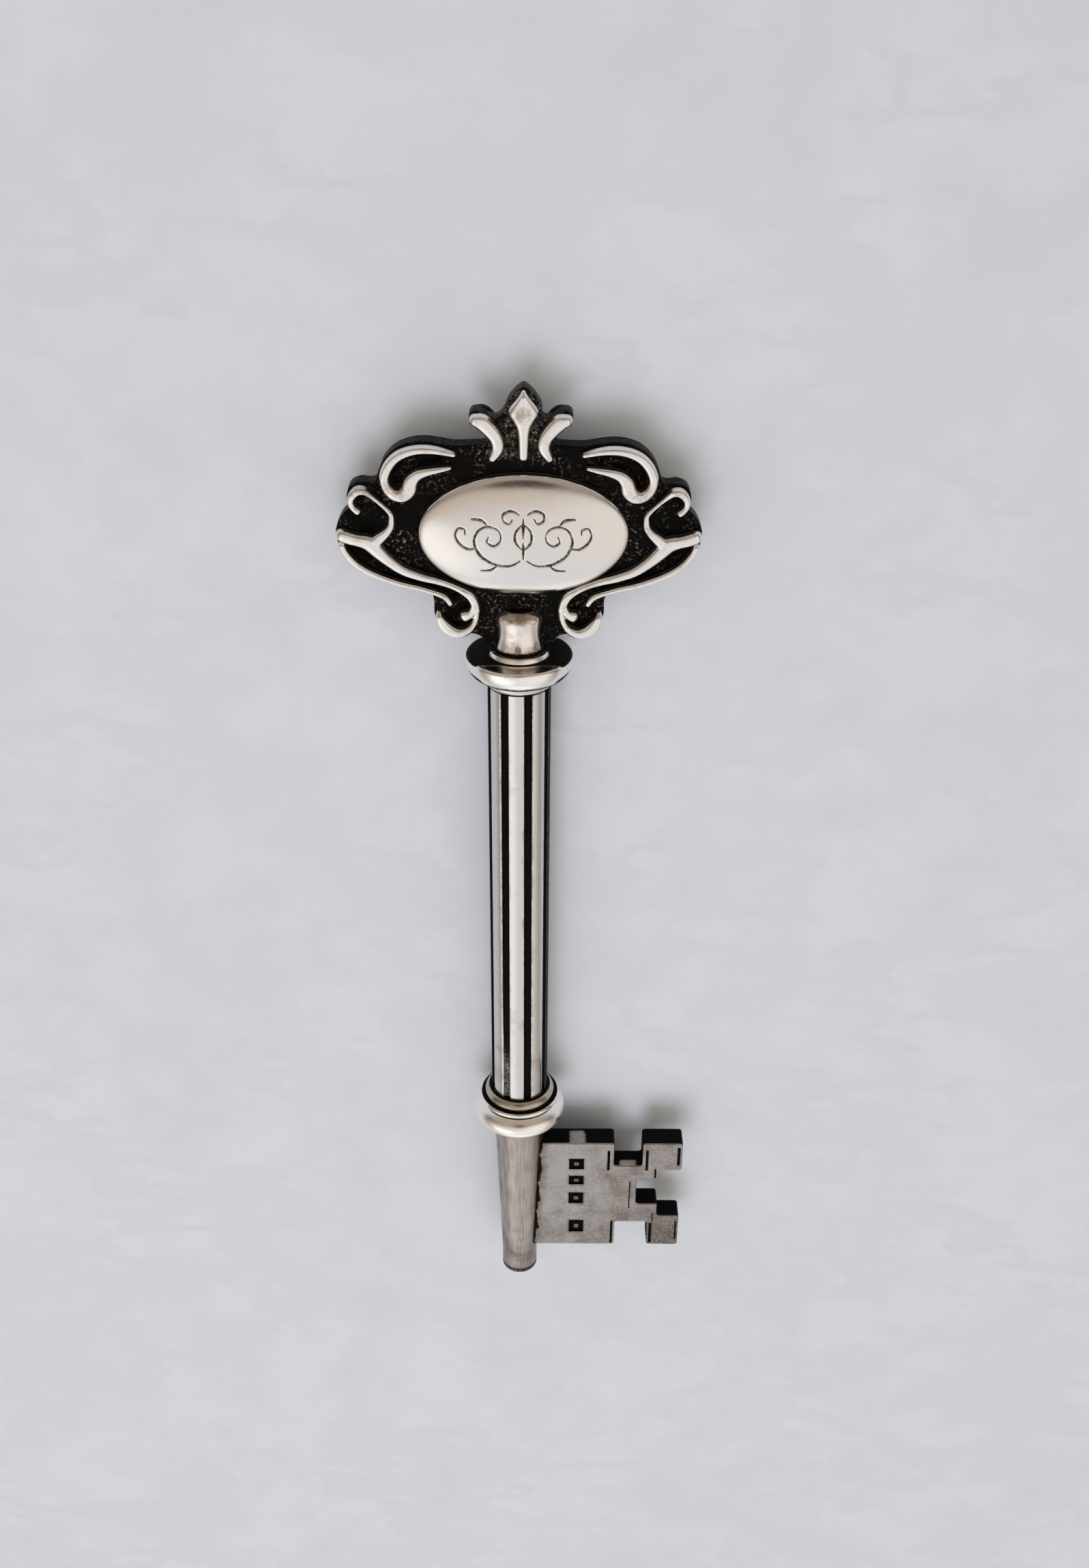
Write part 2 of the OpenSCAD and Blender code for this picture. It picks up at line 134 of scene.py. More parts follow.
class Recipe:
    """A node tree that is written as Python expressions."""

    def __init__(self, tree: bpy.types.NodeTree) -> None:
        """Start with an empty tree."""
        self.tree = tree
        tree.nodes.clear()

    def node(
        self,
        kind: str,
        settings: dict[str, Any] | None = None,
        sockets: dict[str | int, Any] | None = None,
        output: str | int = 0,
    ) -> Wire:
        """Add one node, with its settings set before its sockets.

        Args:
            kind: Blender's name of the node type.
            settings: properties of the node.
            sockets: values or wires for the inputs, by name, identifier or number.
            output: name, identifier or number of the output that is wanted.

        Returns:
            The wanted output, or an empty wire from a node that has no outputs.
        """
        made = self.tree.nodes.new(kind)
        for name, value in (settings or {}).items():
            setattr(made, name, value)
        for key, value in (sockets or {}).items():
            socket = self._pick(made.inputs, key)
            if isinstance(value, Wire):
                self.tree.links.new(value.socket, socket)
            elif isinstance(value, tuple) and socket.type == "RGBA":
                socket.default_value = (*value[:3], 1.0)
            else:
                socket.default_value = value
        if not made.outputs:
            return Wire(self, None)
        return Wire(self, self._pick(made.outputs, output))

    @staticmethod
    def _pick(sockets: Any, key: str | int) -> bpy.types.NodeSocket:
        """Find a socket by number, identifier or name."""
        if isinstance(key, int):
            return sockets[key]
        for socket in sockets:
            if socket.identifier == key:
                return socket
        return sockets[key]

    def place_mm(self) -> Wire:
        """Object coordinates in millimetres."""
        place = self.node("ShaderNodeTexCoord", output="Object")
        return self.node(
            "ShaderNodeVectorMath", {"operation": "SCALE"}, {"Vector": place, "Scale": 1.0 / MM}
        )

    def parts(self, vector: Wire) -> tuple[Wire, ...]:
        """The three components of a vector."""
        made = self.tree.nodes.new("ShaderNodeSeparateXYZ")
        self.tree.links.new(vector.socket, made.inputs[0])
        return tuple(Wire(self, output) for output in made.outputs)

    def stretched(self, place: Wire, scale: Way, turn: Way = (0.0, 0.0, 0.0)) -> Wire:
        """Coordinates turned by degrees and scaled unevenly."""
        turns = tuple(math.radians(angle) for angle in turn)
        sockets = {"Vector": place, "Rotation": turns, "Scale": scale}
        return self.node("ShaderNodeMapping", {"vector_type": "POINT"}, sockets)

    def noise(self, place: Wire, scale: float, detail: float = 3.0, rough: float = 0.5) -> Wire:
        """Cloud noise of about 0 to 1."""
        sockets = {"Vector": place, "Scale": scale, "Detail": detail, "Roughness": rough}
        return self.node("ShaderNodeTexNoise", {}, sockets)

    def blend(self, share: Wire | float, first: Any, second: Any) -> Wire:
        """A colour that goes from first to second as share goes from 0 to 1."""
        sockets = {"Factor_Float": share, "A_Color": first, "B_Color": second}
        return self.node("ShaderNodeMix", {"data_type": "RGBA"}, sockets, "Result_Color")


@dataclass(frozen=True)
class Patterns:
    """The noises that a finish is made of."""

    place: Wire
    cloud: Wire
    fray: Wire
    grit: Wire
    pores: Wire
    along: Wire


@dataclass(frozen=True)
class SilverFinish:
    """Clean silver, its tarnish, and the black patina that lies in the hollows."""

    name: str
    clean: Colour
    tarnish: Colour
    black: Colour = (0.0030, 0.0026, 0.0023)
    gloss: float = 0.13
    dull: float = 0.32
    tarnish_low: float = 0.62
    tarnish_high: float = 0.92
    tarnish_by_grime: float = 0.6
    broad: float = 0.7
    patina_low: float = 0.36
    patina_high: float = 0.64
    ragged: float = 0.34
    worn_low: float = 0.60
    worn_high: float = 0.70
    worn_share: float = 0.45
    worn_cloud: Span = (0.4, 0.58)
    worn_limit: Span = (2.15, 2.0)
    ripple: float = 0.02
    grain: float = 0.004
    black_grain: float = 4.0
    black_grit: float = 0.02
    scratch: float = 0.0015
    streak: float = 0.0
    streak_colour: float = 0.0
    streak_fade: Span = (0.35, 0.68)
    hammer: float = 0.0
    pore_rough: float = 0.10
    tarnish_rough: float = 0.08
    refraction: float = 1.45
    specular: float = 0.05
    cloud_scale: float = 0.45
    fray_scale: float = 3.1
    speck: float = 8.5
    pore_scale: float = 17.0
    hammer_scale: float = 1.3
    streak_scale: Way = (5.5, 0.16, 5.5)
    scratch_scale: Way = (9.0, 0.5, 9.0)
    scratch_turn: Way = (0.0, 12.0, 31.0)
    scratch_fade: Span = (0.62, 0.70)
    cross_scale: Way = (0.6, 11.0, 7.0)
    cross_turn: Way = (9.0, 0.0, -17.0)
    cross_fade: Span = (0.63, 0.70)

    def material(self) -> bpy.types.Material:
        """Write the finish as a material.

        Returns:
            The new material.
        """
        made = bpy.data.materials.new(self.name)
        made.use_nodes = True
        recipe = Recipe(made.node_tree)
        place = recipe.place_mm()
        noises = Patterns(
            place=place,
            cloud=recipe.noise(place, self.cloud_scale, 4.0),
            fray=recipe.noise(place, self.fray_scale, 4.0, 0.6),
            grit=recipe.noise(place, self.speck, 3.0, 0.6),
            pores=recipe.noise(place, self.pore_scale, 2.0),
            along=recipe.noise(recipe.stretched(place, self.streak_scale), 1.0, 4.0, 0.6),
        )
        grime = recipe.node("ShaderNodeAttribute", {"attribute_name": GRIME}, output="Fac")
        patina = self._patina(grime, noises)
        clouds = noises.cloud * self.broad + noises.fray * (1.0 - self.broad)
        clouds = clouds + grime * self.tarnish_by_grime
        tarnish = clouds.ease(self.tarnish_low, self.tarnish_high)
        metal = recipe.blend(tarnish, self.clean, self.tarnish)
        if self.streak_colour:
            shade = (noises.along.ease(*self.streak_fade) * self.streak_colour).clamp()
            metal = recipe.blend(shade, metal, self.tarnish)
        rough = patina * (self.dull - self.gloss) + self.gloss
        rough = rough + (noises.pores - 0.5) * self.pore_rough + tarnish * self.tarnish_rough
        height = self._height(recipe, patina, noises)
        bump = recipe.node(
            "ShaderNodeBump", {}, {"Strength": 1.0, "Distance": MM, "Height": height}, "Normal"
        )
        shader = recipe.node(
            "ShaderNodeBsdfPrincipled",
            {},
            {
                "Base Color": recipe.blend(patina, metal, self.black),
                "Metallic": (1.0 - patina).clamp(),
                "Roughness": rough.clamp(),
                "Normal": bump,
                "IOR": self.refraction,
                "Specular IOR Level": self.specular,
            },
            "BSDF",
        )
        recipe.node("ShaderNodeOutputMaterial", {}, {"Surface": shader})
        return made

    def _patina(self, grime: Wire, noises: Patterns) -> Wire:
        """Share of black at each place, frayed at its edge and worn off in specks."""
        patina = (grime + (noises.fray - 0.5) * self.ragged).ease(self.patina_low, self.patina_high)
        worn = noises.grit.ease(self.worn_low, self.worn_high)
        worn = worn * noises.cloud.ease(*self.worn_cloud) * self.worn_share
        worn = worn * (self.worn_limit[0] - grime * self.worn_limit[1]).clamp()
        return (patina * (1.0 - worn)).clamp()

    def _height(self, recipe: Recipe, patina: Wire, noises: Patterns) -> Wire:
        """Height of the surface in millimetres: scratches, ripples, pores, grit and streaks."""
        lines = recipe.stretched(noises.place, self.scratch_scale, self.scratch_turn)
        cross = recipe.stretched(noises.place, self.cross_scale, self.cross_turn)
        fine = recipe.noise(lines, 1.0, 2.0).ease(*self.scratch_fade)
        fine = (fine + recipe.noise(cross, 1.0, 2.0).ease(*self.cross_fade)) * -self.scratch
        pores = noises.pores * self.grain * (1.0 + patina * self.black_grain)
        height = fine + noises.cloud * self.ripple + pores
        height = height + noises.grit * patina * self.black_grit
        if self.streak:
            height = height + noises.along * self.streak
        if self.hammer:
            height = height + recipe.noise(noises.place, self.hammer_scale, 2.0) * self.hammer
        return height


POLISHED = SilverFinish("polished_silver", (0.80, 0.765, 0.725), (0.52, 0.44, 0.35))
SCROLLS = SilverFinish(
    "scroll_silver", (0.86, 0.825, 0.795), (0.42, 0.34, 0.27), gloss=0.23, ragged=0.30, ripple=0.04,
    tarnish_low=0.50, tarnish_high=0.80,
)
DRAWN = SilverFinish(
    "drawn_shank_silver", (0.70, 0.68, 0.665), (0.42, 0.36, 0.31), gloss=0.16, tarnish_low=0.58
)
RINGS = SilverFinish("ring_silver", (0.92, 0.89, 0.855), (0.52, 0.44, 0.35))
NECK = SilverFinish(
    "neck_silver", (0.90, 0.85, 0.80), (0.44, 0.34, 0.25), gloss=0.2, tarnish_low=0.5,
    tarnish_high=0.8,
)
SOFT_RING = SilverFinish("fillet_silver", (0.97, 0.92, 0.86), (0.60, 0.51, 0.40), gloss=0.24)
AGED = SilverFinish(
    "aged_ring_silver", (0.53, 0.475, 0.395), (0.30, 0.235, 0.16), gloss=0.2, tarnish_low=0.4
)
BEAD = SilverFinish(
    "bead_silver", (0.74, 0.68, 0.66), (0.44, 0.37, 0.33), gloss=0.2, tarnish_low=0.5
)
SATIN = SilverFinish(
    "satin_pin_silver", (0.50, 0.46, 0.435), (0.20, 0.16, 0.13), gloss=0.30, dull=0.5,
    tarnish_low=0.45, streak=0.012, streak_colour=0.55, scratch=0.003,
)
BIT_METAL = SilverFinish(
    "satin_bit_silver", (0.44, 0.41, 0.39), (0.22, 0.18, 0.155), gloss=0.31, dull=0.5,
    tarnish_low=0.42, tarnish_high=0.86, scratch=0.004, grain=0.008, broad=0.5,
)
GROUND = SilverFinish(
    "matted_ground", (0.56, 0.53, 0.50), (0.30, 0.25, 0.20), gloss=0.26, dull=0.27,
    worn_low=0.555, worn_high=0.62, worn_share=0.95, grain=0.006, hammer=0.16, speck=2.7,
)


# Shaping helpers


def smooth_step(value: np.ndarray, low: float, high: float) -> np.ndarray:
    """A smooth step on arrays: 0 at low, 1 at high, also where low is the larger."""
    share = np.clip((value - low) / (high - low), 0.0, 1.0)
    return share * share * (3.0 - 2.0 * share)


@dataclass(frozen=True)
class Fade:
    """A layer of grime: the measures at which it starts and is full, and how dark it is there."""

    start: float
    full: float
    share: float = 1.0

    def over(self, measure: np.ndarray) -> np.ndarray:
        """The layer's grime at each point, from a measure of the points."""
        return self.share * smooth_step(measure, self.start, self.full)


def darkest(*layers: np.ndarray) -> np.ndarray:
    """The largest of several layers of grime at each point."""
    return np.maximum.reduce(layers)


def flowing(points: Sequence[Sequence[float]], steps: int) -> np.ndarray:
    """Run a smooth curve through points.

    Args:
        points: the curve's points, each with any number of values.
        steps: stretches between two neighbouring points.

    Returns:
        The curve's samples, one a row.
    """
    rows = np.array(points, dtype=float)
    last = len(rows) - 1
    samples = []
    for i in range(last):
        a, b = rows[max(i - 1, 0)], rows[i]
        c, d = rows[i + 1], rows[min(i + 2, last)]
        for t in np.arange(steps) / steps:
            samples.append(
                0.5
                * (
                    2 * b
                    + (c - a) * t
                    + (2 * a - 5 * b + 4 * c - d) * t**2
                    + (3 * b - 3 * c + d - a) * t**3
                )
            )
    samples.append(rows[last])
    return np.array(samples)


def mesh_from(bm: bmesh.types.BMesh, name: str) -> bpy.types.Mesh:
    """Turn a bmesh into a mesh with its normals outwards.

    Args:
        bm: the shape, which is freed.
        name: name of the mesh.

    Returns:
        The new mesh.
    """
    bmesh.ops.remove_doubles(bm, verts=bm.verts, dist=MERGE_DISTANCE)
    bmesh.ops.recalc_face_normals(bm, faces=bm.faces)
    mesh = bpy.data.meshes.new(name)
    bm.to_mesh(mesh)
    bm.free()
    return mesh


def new_end(grown: Sequence[Any]) -> tuple[list[bmesh.types.BMVert], list[bmesh.types.BMEdge]]:
    """Find the new end of an extrusion.

    Args:
        grown: the geometry that the extrusion made.

    Returns:
        Its new points, and the edges that run between them.
    """
    verts = [item for item in grown if isinstance(item, bmesh.types.BMVert)]
    ends = set(verts)
    edges = [item for item in grown if isinstance(item, bmesh.types.BMEdge)]
    return verts, [edge for edge in edges if ends.issuperset(edge.verts)]


def extruded(
    bm: bmesh.types.BMesh, edges: Sequence[bmesh.types.BMEdge]
) -> tuple[list[bmesh.types.BMVert], list[bmesh.types.BMEdge]]:
    """Extrude a loop of edges, and return the points and the edges of its new end."""
    return new_end(bmesh.ops.extrude_edge_only(bm, edges=edges)["geom"])


def edges_at(verts: Sequence[bmesh.types.BMVert]) -> list[bmesh.types.BMEdge]:
    """Edges that meet the given points, each once, in the same order each run."""
    return list(dict.fromkeys(edge for vert in verts for edge in vert.link_edges))


def thickened(bm: bmesh.types.BMesh, depth: float) -> list[bmesh.types.BMEdge]:
    """Make a flat outline a slab.

    Args:
        bm: the shape, which holds one flat face.
        depth: thickness of the slab.

    Returns:
        The edges of its two rims.
    """
    rim = list(bm.edges)
    grown = bmesh.ops.extrude_face_region(bm, geom=list(bm.faces), use_keep_orig=True)["geom"]
    lifted, far = new_end(grown)
    bmesh.ops.translate(bm, vec=(0.0, 0.0, depth), verts=lifted)
    return rim + far


def rounded(
    bm: bmesh.types.BMesh, geom: Sequence[Any], width: float, segments: int, kind: str = "EDGES"
) -> None:
    """Round some edges, or with the kind VERTICES some corners, by a width in millimetres."""
    bmesh.ops.bevel(
        bm, geom=geom, offset=width, segments=segments, profile=0.5, affect=kind, material=-1
    )


def with_modifiers(
    mesh: bpy.types.Mesh, steps: Sequence[tuple[str, dict[str, Any]]]
) -> bpy.types.Mesh:
    """Put a mesh through modifiers and apply them.

    Args:
        mesh: the mesh to change.
        steps: type and settings of each modifier, in order.

    Returns:
        A new mesh.
    """
    carrier = placed(f"{mesh.name}_carrier", mesh)
    for kind, settings in steps:
        modifier = carrier.modifiers.new(kind.lower(), kind)
        for name, value in settings.items():
            setattr(modifier, name, value)
    graph = bpy.context.evaluated_depsgraph_get()
    made = bpy.data.meshes.new_from_object(carrier.evaluated_get(graph))
    bpy.data.objects.remove(carrier)
    return made


def remeshed(mesh: bpy.types.Mesh, voxel: float, rounds: int) -> bpy.types.Mesh:
    """Join overlapping shells into one skin, then smooth it.

    Args:
        mesh: the shells.
        voxel: size of the new faces in millimetres.
        rounds: how often the skin is smoothed.

    Returns:
        The new skin.
    """
    skin = with_modifiers(mesh, [("REMESH", {"mode": "VOXEL", "voxel_size": voxel})])
    bm = bmesh.new()
    bm.from_mesh(skin)
    for _ in range(rounds):
        bmesh.ops.smooth_vert(
            bm, verts=bm.verts, factor=0.5, use_axis_x=True, use_axis_y=True, use_axis_z=True
        )
    return mesh_from(bm, mesh.name)


def cut(
    mesh: bpy.types.Mesh, tool: bpy.types.Mesh, operation: str = "DIFFERENCE"
) -> bpy.types.Mesh:
    """Cut one closed mesh with another, or join them.

    Args:
        mesh: the mesh to change.
        tool: the cutter.
        operation: DIFFERENCE or UNION.

    Returns:
        The new mesh.
    """
    cutter = placed(f"{mesh.name}_cutter", tool)
    settings = {"operation": operation, "object": cutter, "solver": "MANIFOLD"}
    made = with_modifiers(mesh, [("BOOLEAN", settings)])
    bpy.data.objects.remove(cutter)
    return made


def box_shape(low: Sequence[float], high: Sequence[float]) -> bmesh.types.BMesh:
    """A plain box between two corners, for use as a cutter."""
    bm = bmesh.new()
    size = [b - a for a, b in zip(low, high)]
    middle = [(a + b) / 2 for a, b in zip(low, high)]
    matrix = Matrix.Translation(middle) @ Matrix.Diagonal((*size, 1.0))
    bmesh.ops.create_cube(bm, size=1.0, matrix=matrix)
    return bm


def read_rows(source: Any, name: str) -> np.ndarray:
    """One vector of every item of a mesh collection, as rows of three numbers."""
    flat = np.empty(len(source) * 3, dtype=np.float32)
    source.foreach_get(name, flat)
    return flat.reshape(-1, 3).astype(float)


def coordinates(mesh: bpy.types.Mesh) -> np.ndarray:
    """Place of every point of a mesh."""
    return read_rows(mesh.vertices, "co")


def facing(mesh: bpy.types.Mesh) -> np.ndarray:
    """Normal of every point of a mesh."""
    return read_rows(mesh.vertex_normals, "vector")


def move_to(mesh: bpy.types.Mesh, points: np.ndarray) -> None:
    """Give every point of a mesh a new place."""
    mesh.vertices.foreach_set("co", points.astype(np.float32).ravel())
    mesh.update()


def soil(mesh: bpy.types.Mesh, rule: Rule) -> None:
    """Write how black each point of a mesh is, from its place and its direction.

    Args:
        mesh: the mesh, in millimetres.
        rule: gives 0 for clean metal and 1 for black patina.
    """
    values = np.clip(rule(coordinates(mesh), facing(mesh)), 0.0, 1.0)
    layer = mesh.attributes.new(GRIME, "FLOAT", "POINT")
    layer.data.foreach_set("value", values.astype(np.float32))


def placed(name: str, content: bpy.types.ID) -> bpy.types.Object:
    """Put a mesh, a light or a camera into the scene as an object."""
    made = bpy.data.objects.new(name, content)
    bpy.context.scene.collection.objects.link(made)
    return made


def hand_in(
    mesh: bpy.types.Mesh,
    node: str,
    finish: bpy.types.Material,
    sharp: float | None = None,
) -> None:
    """Make a finished piece of a mesh and let it stand for a CAD node.

    Args:
        mesh: the shape in millimetres.
        node: CAD node that the piece replaces.
        finish: material of the piece.
        sharp: angle in degrees above which an edge stays sharp, if any does.
    """
    mesh.transform(Matrix.Scale(MM, 4))
    mesh.materials.clear()
    mesh.materials.append(finish)
    mesh.shade_smooth()
    piece = placed(f"{node}_piece", mesh)
    if sharp is not None:
        mesh.set_sharp_from_angle(angle=math.radians(sharp))
        modifier = piece.modifiers.new("even_normals", "WEIGHTED_NORMAL")
        modifier.keep_sharp = True
    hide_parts(node)
    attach(piece, BODY)
    log.info("%s: %d faces", piece.name, len(mesh.polygons))


def turned(profile: Sequence[Spot], name: str, ring: bool, steps: int = 128) -> bpy.types.Mesh:
    """Turn a profile about the key's axis.

    Args:
        profile: radius and height of each point.
        name: name of the mesh.
        ring: whether the profile closes on itself, as that of a bored ring does.
        steps: faces round the axis.

    Returns:
        The turned mesh.
    """
    bm = bmesh.new()
    verts = [bm.verts.new((radius, height, 0.0)) for radius, height in profile]
    count = len(verts)
    edges = [bm.edges.new((verts[i], verts[(i + 1) % count])) for i in range(count - 1 + ring)]
    bmesh.ops.spin(
        bm,
        geom=verts + edges,
        cent=(0.0, 0.0, 0.0),
        axis=(0.0, 1.0, 0.0),
        dvec=(0.0, 0.0, 0.0),
        angle=2.0 * math.pi,
        steps=steps,
        use_merge=True,
        use_duplicate=False,
    )
    return mesh_from(bm, name)


def bead_profile(
    start: float, length: float, foot: float, top: float, steps: int
) -> list[Spot]:
    """Radius and height of a round bead's edge, from its lower to its upper end."""
    half = length / 2
    turns = [math.pi * s / steps for s in range(steps + 1)]
    return [
        (foot + (top - foot) * math.sin(turn), start + half - half * math.cos(turn))
        for turn in turns
    ]


# The bow


@dataclass(frozen=True)
class Hollow:
    """A dished place in the ground: its middle line with half widths, and its depth."""

    line: Stroke
    depth: float


@dataclass(frozen=True)
class Relief:
    """A stroke of the ornament, the sides that it stands on, and how far it leans sideways."""

    stroke: Stroke
    sides: Sequence[int] = BOTH_SIDES
    lean: float = 0.0


@dataclass
class Bow:
    """The plate with its scrolls, its crest and the two oval bosses; points start at the boss."""

    bow_y: float = 105.05
    boss_drop: float = 0.2
    boss_lean: float = 0.45
    crest_lean: float = 0.2
    boss_w: float = 21.4
    boss_h: float = 13.0
    boss_rise: float = 2.1
    boss_edge: float = 0.5
    boss_foot: float = -0.3
    boss_power: float = 2.15
    boss_grime: Fade = Fade(0.62, 0.2)
    front_cells: tuple[int, int] = (340, 204)
    back_cells: tuple[int, int] = (170, 102)
    plate_half: float = 1.15
    plate_foot_y: float = 92.44
    plate_round: float = 0.22
    plate_voxel: float = 0.13
    plate_smooth: int = 2
    plate_face: Span = (0.75, 0.97)
    ground_black: float = 0.98
    crest_up: Fade = Fade(6.6, 7.6)
    crest_across: Fade = Fade(5.0, 3.0, 0.37)
    beside_from: Fade = Fade(10.6, 11.4, 0.26)
    beside_until: Fade = Fade(13.6, 12.6)
    beside_up: Fade = Fade(4.5, 2.5)
    foot_worn: Fade = Fade(-6.0, -7.0, 0.07)
    matting_waves: Sequence[tuple[int, float, float, float]] = (
        (0, 9.1, 7.3, 1.7), (1, 8.3, 6.1, 1.9),
    )
    matting: float = 0.07
    matting_limit: float = 0.05
    scroll_rise: float = 1.15
    scroll_dip: float = 0.6
    scroll_swell: float = 1.1
    scroll_voxel: float = 0.08
    scroll_smooth: int = 5
    # Black at a scroll's foot is patina; up to half its height it is painted shade on the flanks.
    scroll_foot: Fade = Fade(0.5, 0.1)
    bud_y: float = 12.3
    bud_size: Spot = (1.15, 1.5)
    bud_stain: Fade = Fade(1.0, 0.4, 0.33)
    tip_y: float = 4.6
    tip_up: Fade = Fade(1.3, 0.4)
    tip_across: Fade = Fade(9.0, 11.0, 0.16)
    stroke_steps: int = 7
    edge_steps: int = 6
    hollow_steps: int = 8
    section_faces: int = 20
    section_power: Spot = (0.6, 0.75)
    low_rise: float = 0.42
    rise_by_width: float = 0.66
    cap_power: float = 0.8
    cap_reach: Sequence[float] = (0.3, 0.55, 0.76, 0.9, 0.975)
    line_depth: float = 0.07
    line_widen: float = 0.65
    line_least: float = 0.05
    line_grime: Fade = Fade(0.0, 0.75, 0.57)
    line_steps: int = 14
    line_field: Spot = (7.4, 3.9)

    upper_scroll: Stroke = (
        (6.4, 8.2, 0.5), (8.4, 8.65, 0.75), (10.2, 8.65, 0.85), (11.8, 8.1, 0.95),
        (12.85, 7.1, 1.0), (13.4, 5.8, 1.0), (13.2, 4.8, 1.05), (12.55, 4.1, 1.2),
        (11.7, 3.95, 1.45), (11.05, 4.5, 1.6), (10.75, 5.4, 1.45), (10.1, 6.1, 1.15),
        (9.0, 6.5, 0.85), (7.8, 6.7, 0.65), (6.8, 6.85, 0.4),
    )
    ear_hook: Stroke = (
        (16.2, 2.25, 0.75), (16.75, 2.8, 0.65), (16.8, 3.6, 0.75), (16.2, 4.35, 0.9),
        (15.5, 4.4, 0.8), (14.85, 3.9, 0.55), (14.2, 3.3, 0.45), (13.5, 2.65, 0.45),
        (12.9, 2.0, 0.6), (12.85, 1.35, 0.7), (12.95, 0.7, 0.8), (13.35, 0.1, 0.95),
        (14.0, -0.5, 1.15), (14.7, -1.1, 1.3),
    )
    side_band: Stroke = (
        (17.9, -0.35, 1.3), (17.1, -0.65, 1.35), (16.3, -0.85, 1.35), (15.3, -1.15, 1.6),
        (14.4, -2.0, 1.5), (13.4, -2.95, 1.25), (11.9, -4.05, 1.05), (10.1, -4.75, 0.9),
        (8.5, -5.2, 0.75), (7.0, -5.75, 0.65), (5.8, -6.35, 0.75), (4.95, -7.0, 1.0),
        (4.5, -8.0, 0.95), (4.4, -9.0, 0.65), (4.7, -10.0, 0.7), (5.3, -10.75, 0.9),
        (6.15, -11.1, 1.05), (7.0, -10.95, 1.2), (7.75, -10.35, 1.25), (8.2, -9.5, 0.95),
        (8.3, -8.8, 0.5),
    )
    volute_hook: Stroke = ((4.6, -8.0, 0.9), (4.95, -8.8, 0.9), (5.6, -9.15, 1.2))
    lower_lip: Stroke = (
        (18.0, -1.4, 0.7), (17.6, -2.3, 0.7), (16.7, -3.4, 0.7), (15.4, -4.3, 0.7),
        (14.0, -4.95, 0.65), (12.2, -5.6, 0.6), (10.4, -6.05, 0.55), (8.9, -6.5, 0.55),
        (7.7, -7.0, 0.65), (7.1, -7.8, 0.6),
    )
    crest_petal: Stroke = (
        (4.5, 11.7, 1.15), (3.85, 11.5, 1.55), (3.1, 10.8, 1.5), (2.45, 9.9, 1.35),
        (2.3, 8.9, 1.25), (2.85, 7.9, 0.8),
    )
    crest_bud: Stroke = (
        (0.0, 14.5, 0.4), (0.0, 13.8, 1.3), (0.0, 13.1, 2.3), (0.0, 12.4, 2.85),
        (0.0, 11.7, 2.1), (0.0, 11.0, 1.4), (0.0, 10.1, 1.1), (0.0, 9.1, 1.0),
        (0.0, 8.1, 1.0),
    )
    bud_edge: Sequence[Spot] = ((0.0, 14.95), (0.75, 14.4), (1.5, 13.45), (1.85, 12.6))
    crest_edge: Sequence[Spot] = (
        (2.0, 12.0), (2.5, 11.7), (3.1, 11.85), (3.9, 12.35), (4.75, 12.4), (5.15, 11.85),
        (4.85, 11.2), (3.95, 10.6), (3.25, 9.7), (3.6, 9.1),
    )
    plate_edge: Sequence[Spot] = (
        (5.2, 8.95), (6.6, 8.95), (8.4, 9.25), (10.3, 9.3), (12.1, 8.7), (13.4, 7.5),
        (14.05, 6.1), (14.4, 5.2), (15.1, 5.05), (16.1, 5.1), (17.0, 4.6), (17.35, 3.5),
        (17.15, 2.45), (17.9, 1.6), (18.45, 0.6), (18.65, -0.4), (18.45, -1.5),
        (18.0, -2.6), (17.0, -3.8), (15.6, -4.75), (14.1, -5.4), (12.3, -6.0),
        (10.5, -6.45), (9.2, -6.9), (8.85, -7.8), (8.85, -9.1), (8.5, -10.3),
        (7.5, -11.35), (6.1, -11.7), (4.95, -11.55), (4.2, -11.75), (3.7, -12.15),
    )
    hollows: Sequence[Hollow] = (
        Hollow(((15.35, 2.75, 1.2), (15.3, 1.6, 1.75), (15.6, 0.8, 1.5)), 0.6),
        Hollow(((17.0, -1.9, 0.7), (15.6, -3.2, 0.9), (13.9, -4.05, 0.8), (12.0, -4.85, 0.6),
                (10.2, -5.4, 0.45), (8.6, -5.85, 0.4)), 0.55),
        Hollow(((6.3, -7.6, 0.9), (6.7, -8.9, 1.3), (6.5, -9.9, 0.9)), 0.6),
        Hollow(((8.0, 7.65, 0.4), (9.6, 7.55, 0.7), (11.3, 6.9, 0.85), (12.0, 5.9, 0.8),
                (11.9, 5.1, 0.5)), 0.5),
    )
    flourish: Sequence[Stroke] = (
        ((0.35, -2.25, 0.14), (1.4, -2.8, 0.22), (2.9, -2.65, 0.28), (4.3, -1.75, 0.3),
         (4.95, -0.3, 0.26), (4.5, 1.0, 0.2), (3.4, 1.45, 0.16), (2.45, 0.95, 0.14),
         (2.3, 0.0, 0.16), (2.95, -0.6, 0.22), (3.65, -0.25, 0.16), (3.5, 0.35, 0.12)),
        ((0.45, 2.75, 0.12), (1.2, 3.1, 0.2), (2.0, 2.75, 0.24), (2.0, 2.05, 0.2),
         (1.4, 1.8, 0.14), (1.1, 2.25, 0.12)),
        ((4.8, -0.9, 0.14), (5.6, -1.0, 0.2), (6.4, -0.5, 0.24), (6.85, 0.35, 0.2),
         (6.55, 1.15, 0.14), (5.95, 1.1, 0.12), (5.85, 0.6, 0.12)),
        ((2.6, -2.75, 0.1), (3.3, -3.3, 0.24), (4.3, -3.4, 0.1)),
        ((3.6, 1.5, 0.1), (4.2, 2.1, 0.24), (5.2, 2.2, 0.1)),
        ((0.25, -0.9, 0.1), (0.8, -0.1, 0.24), (0.75, 0.9, 0.2), (0.2, 1.6, 0.1)),
    )
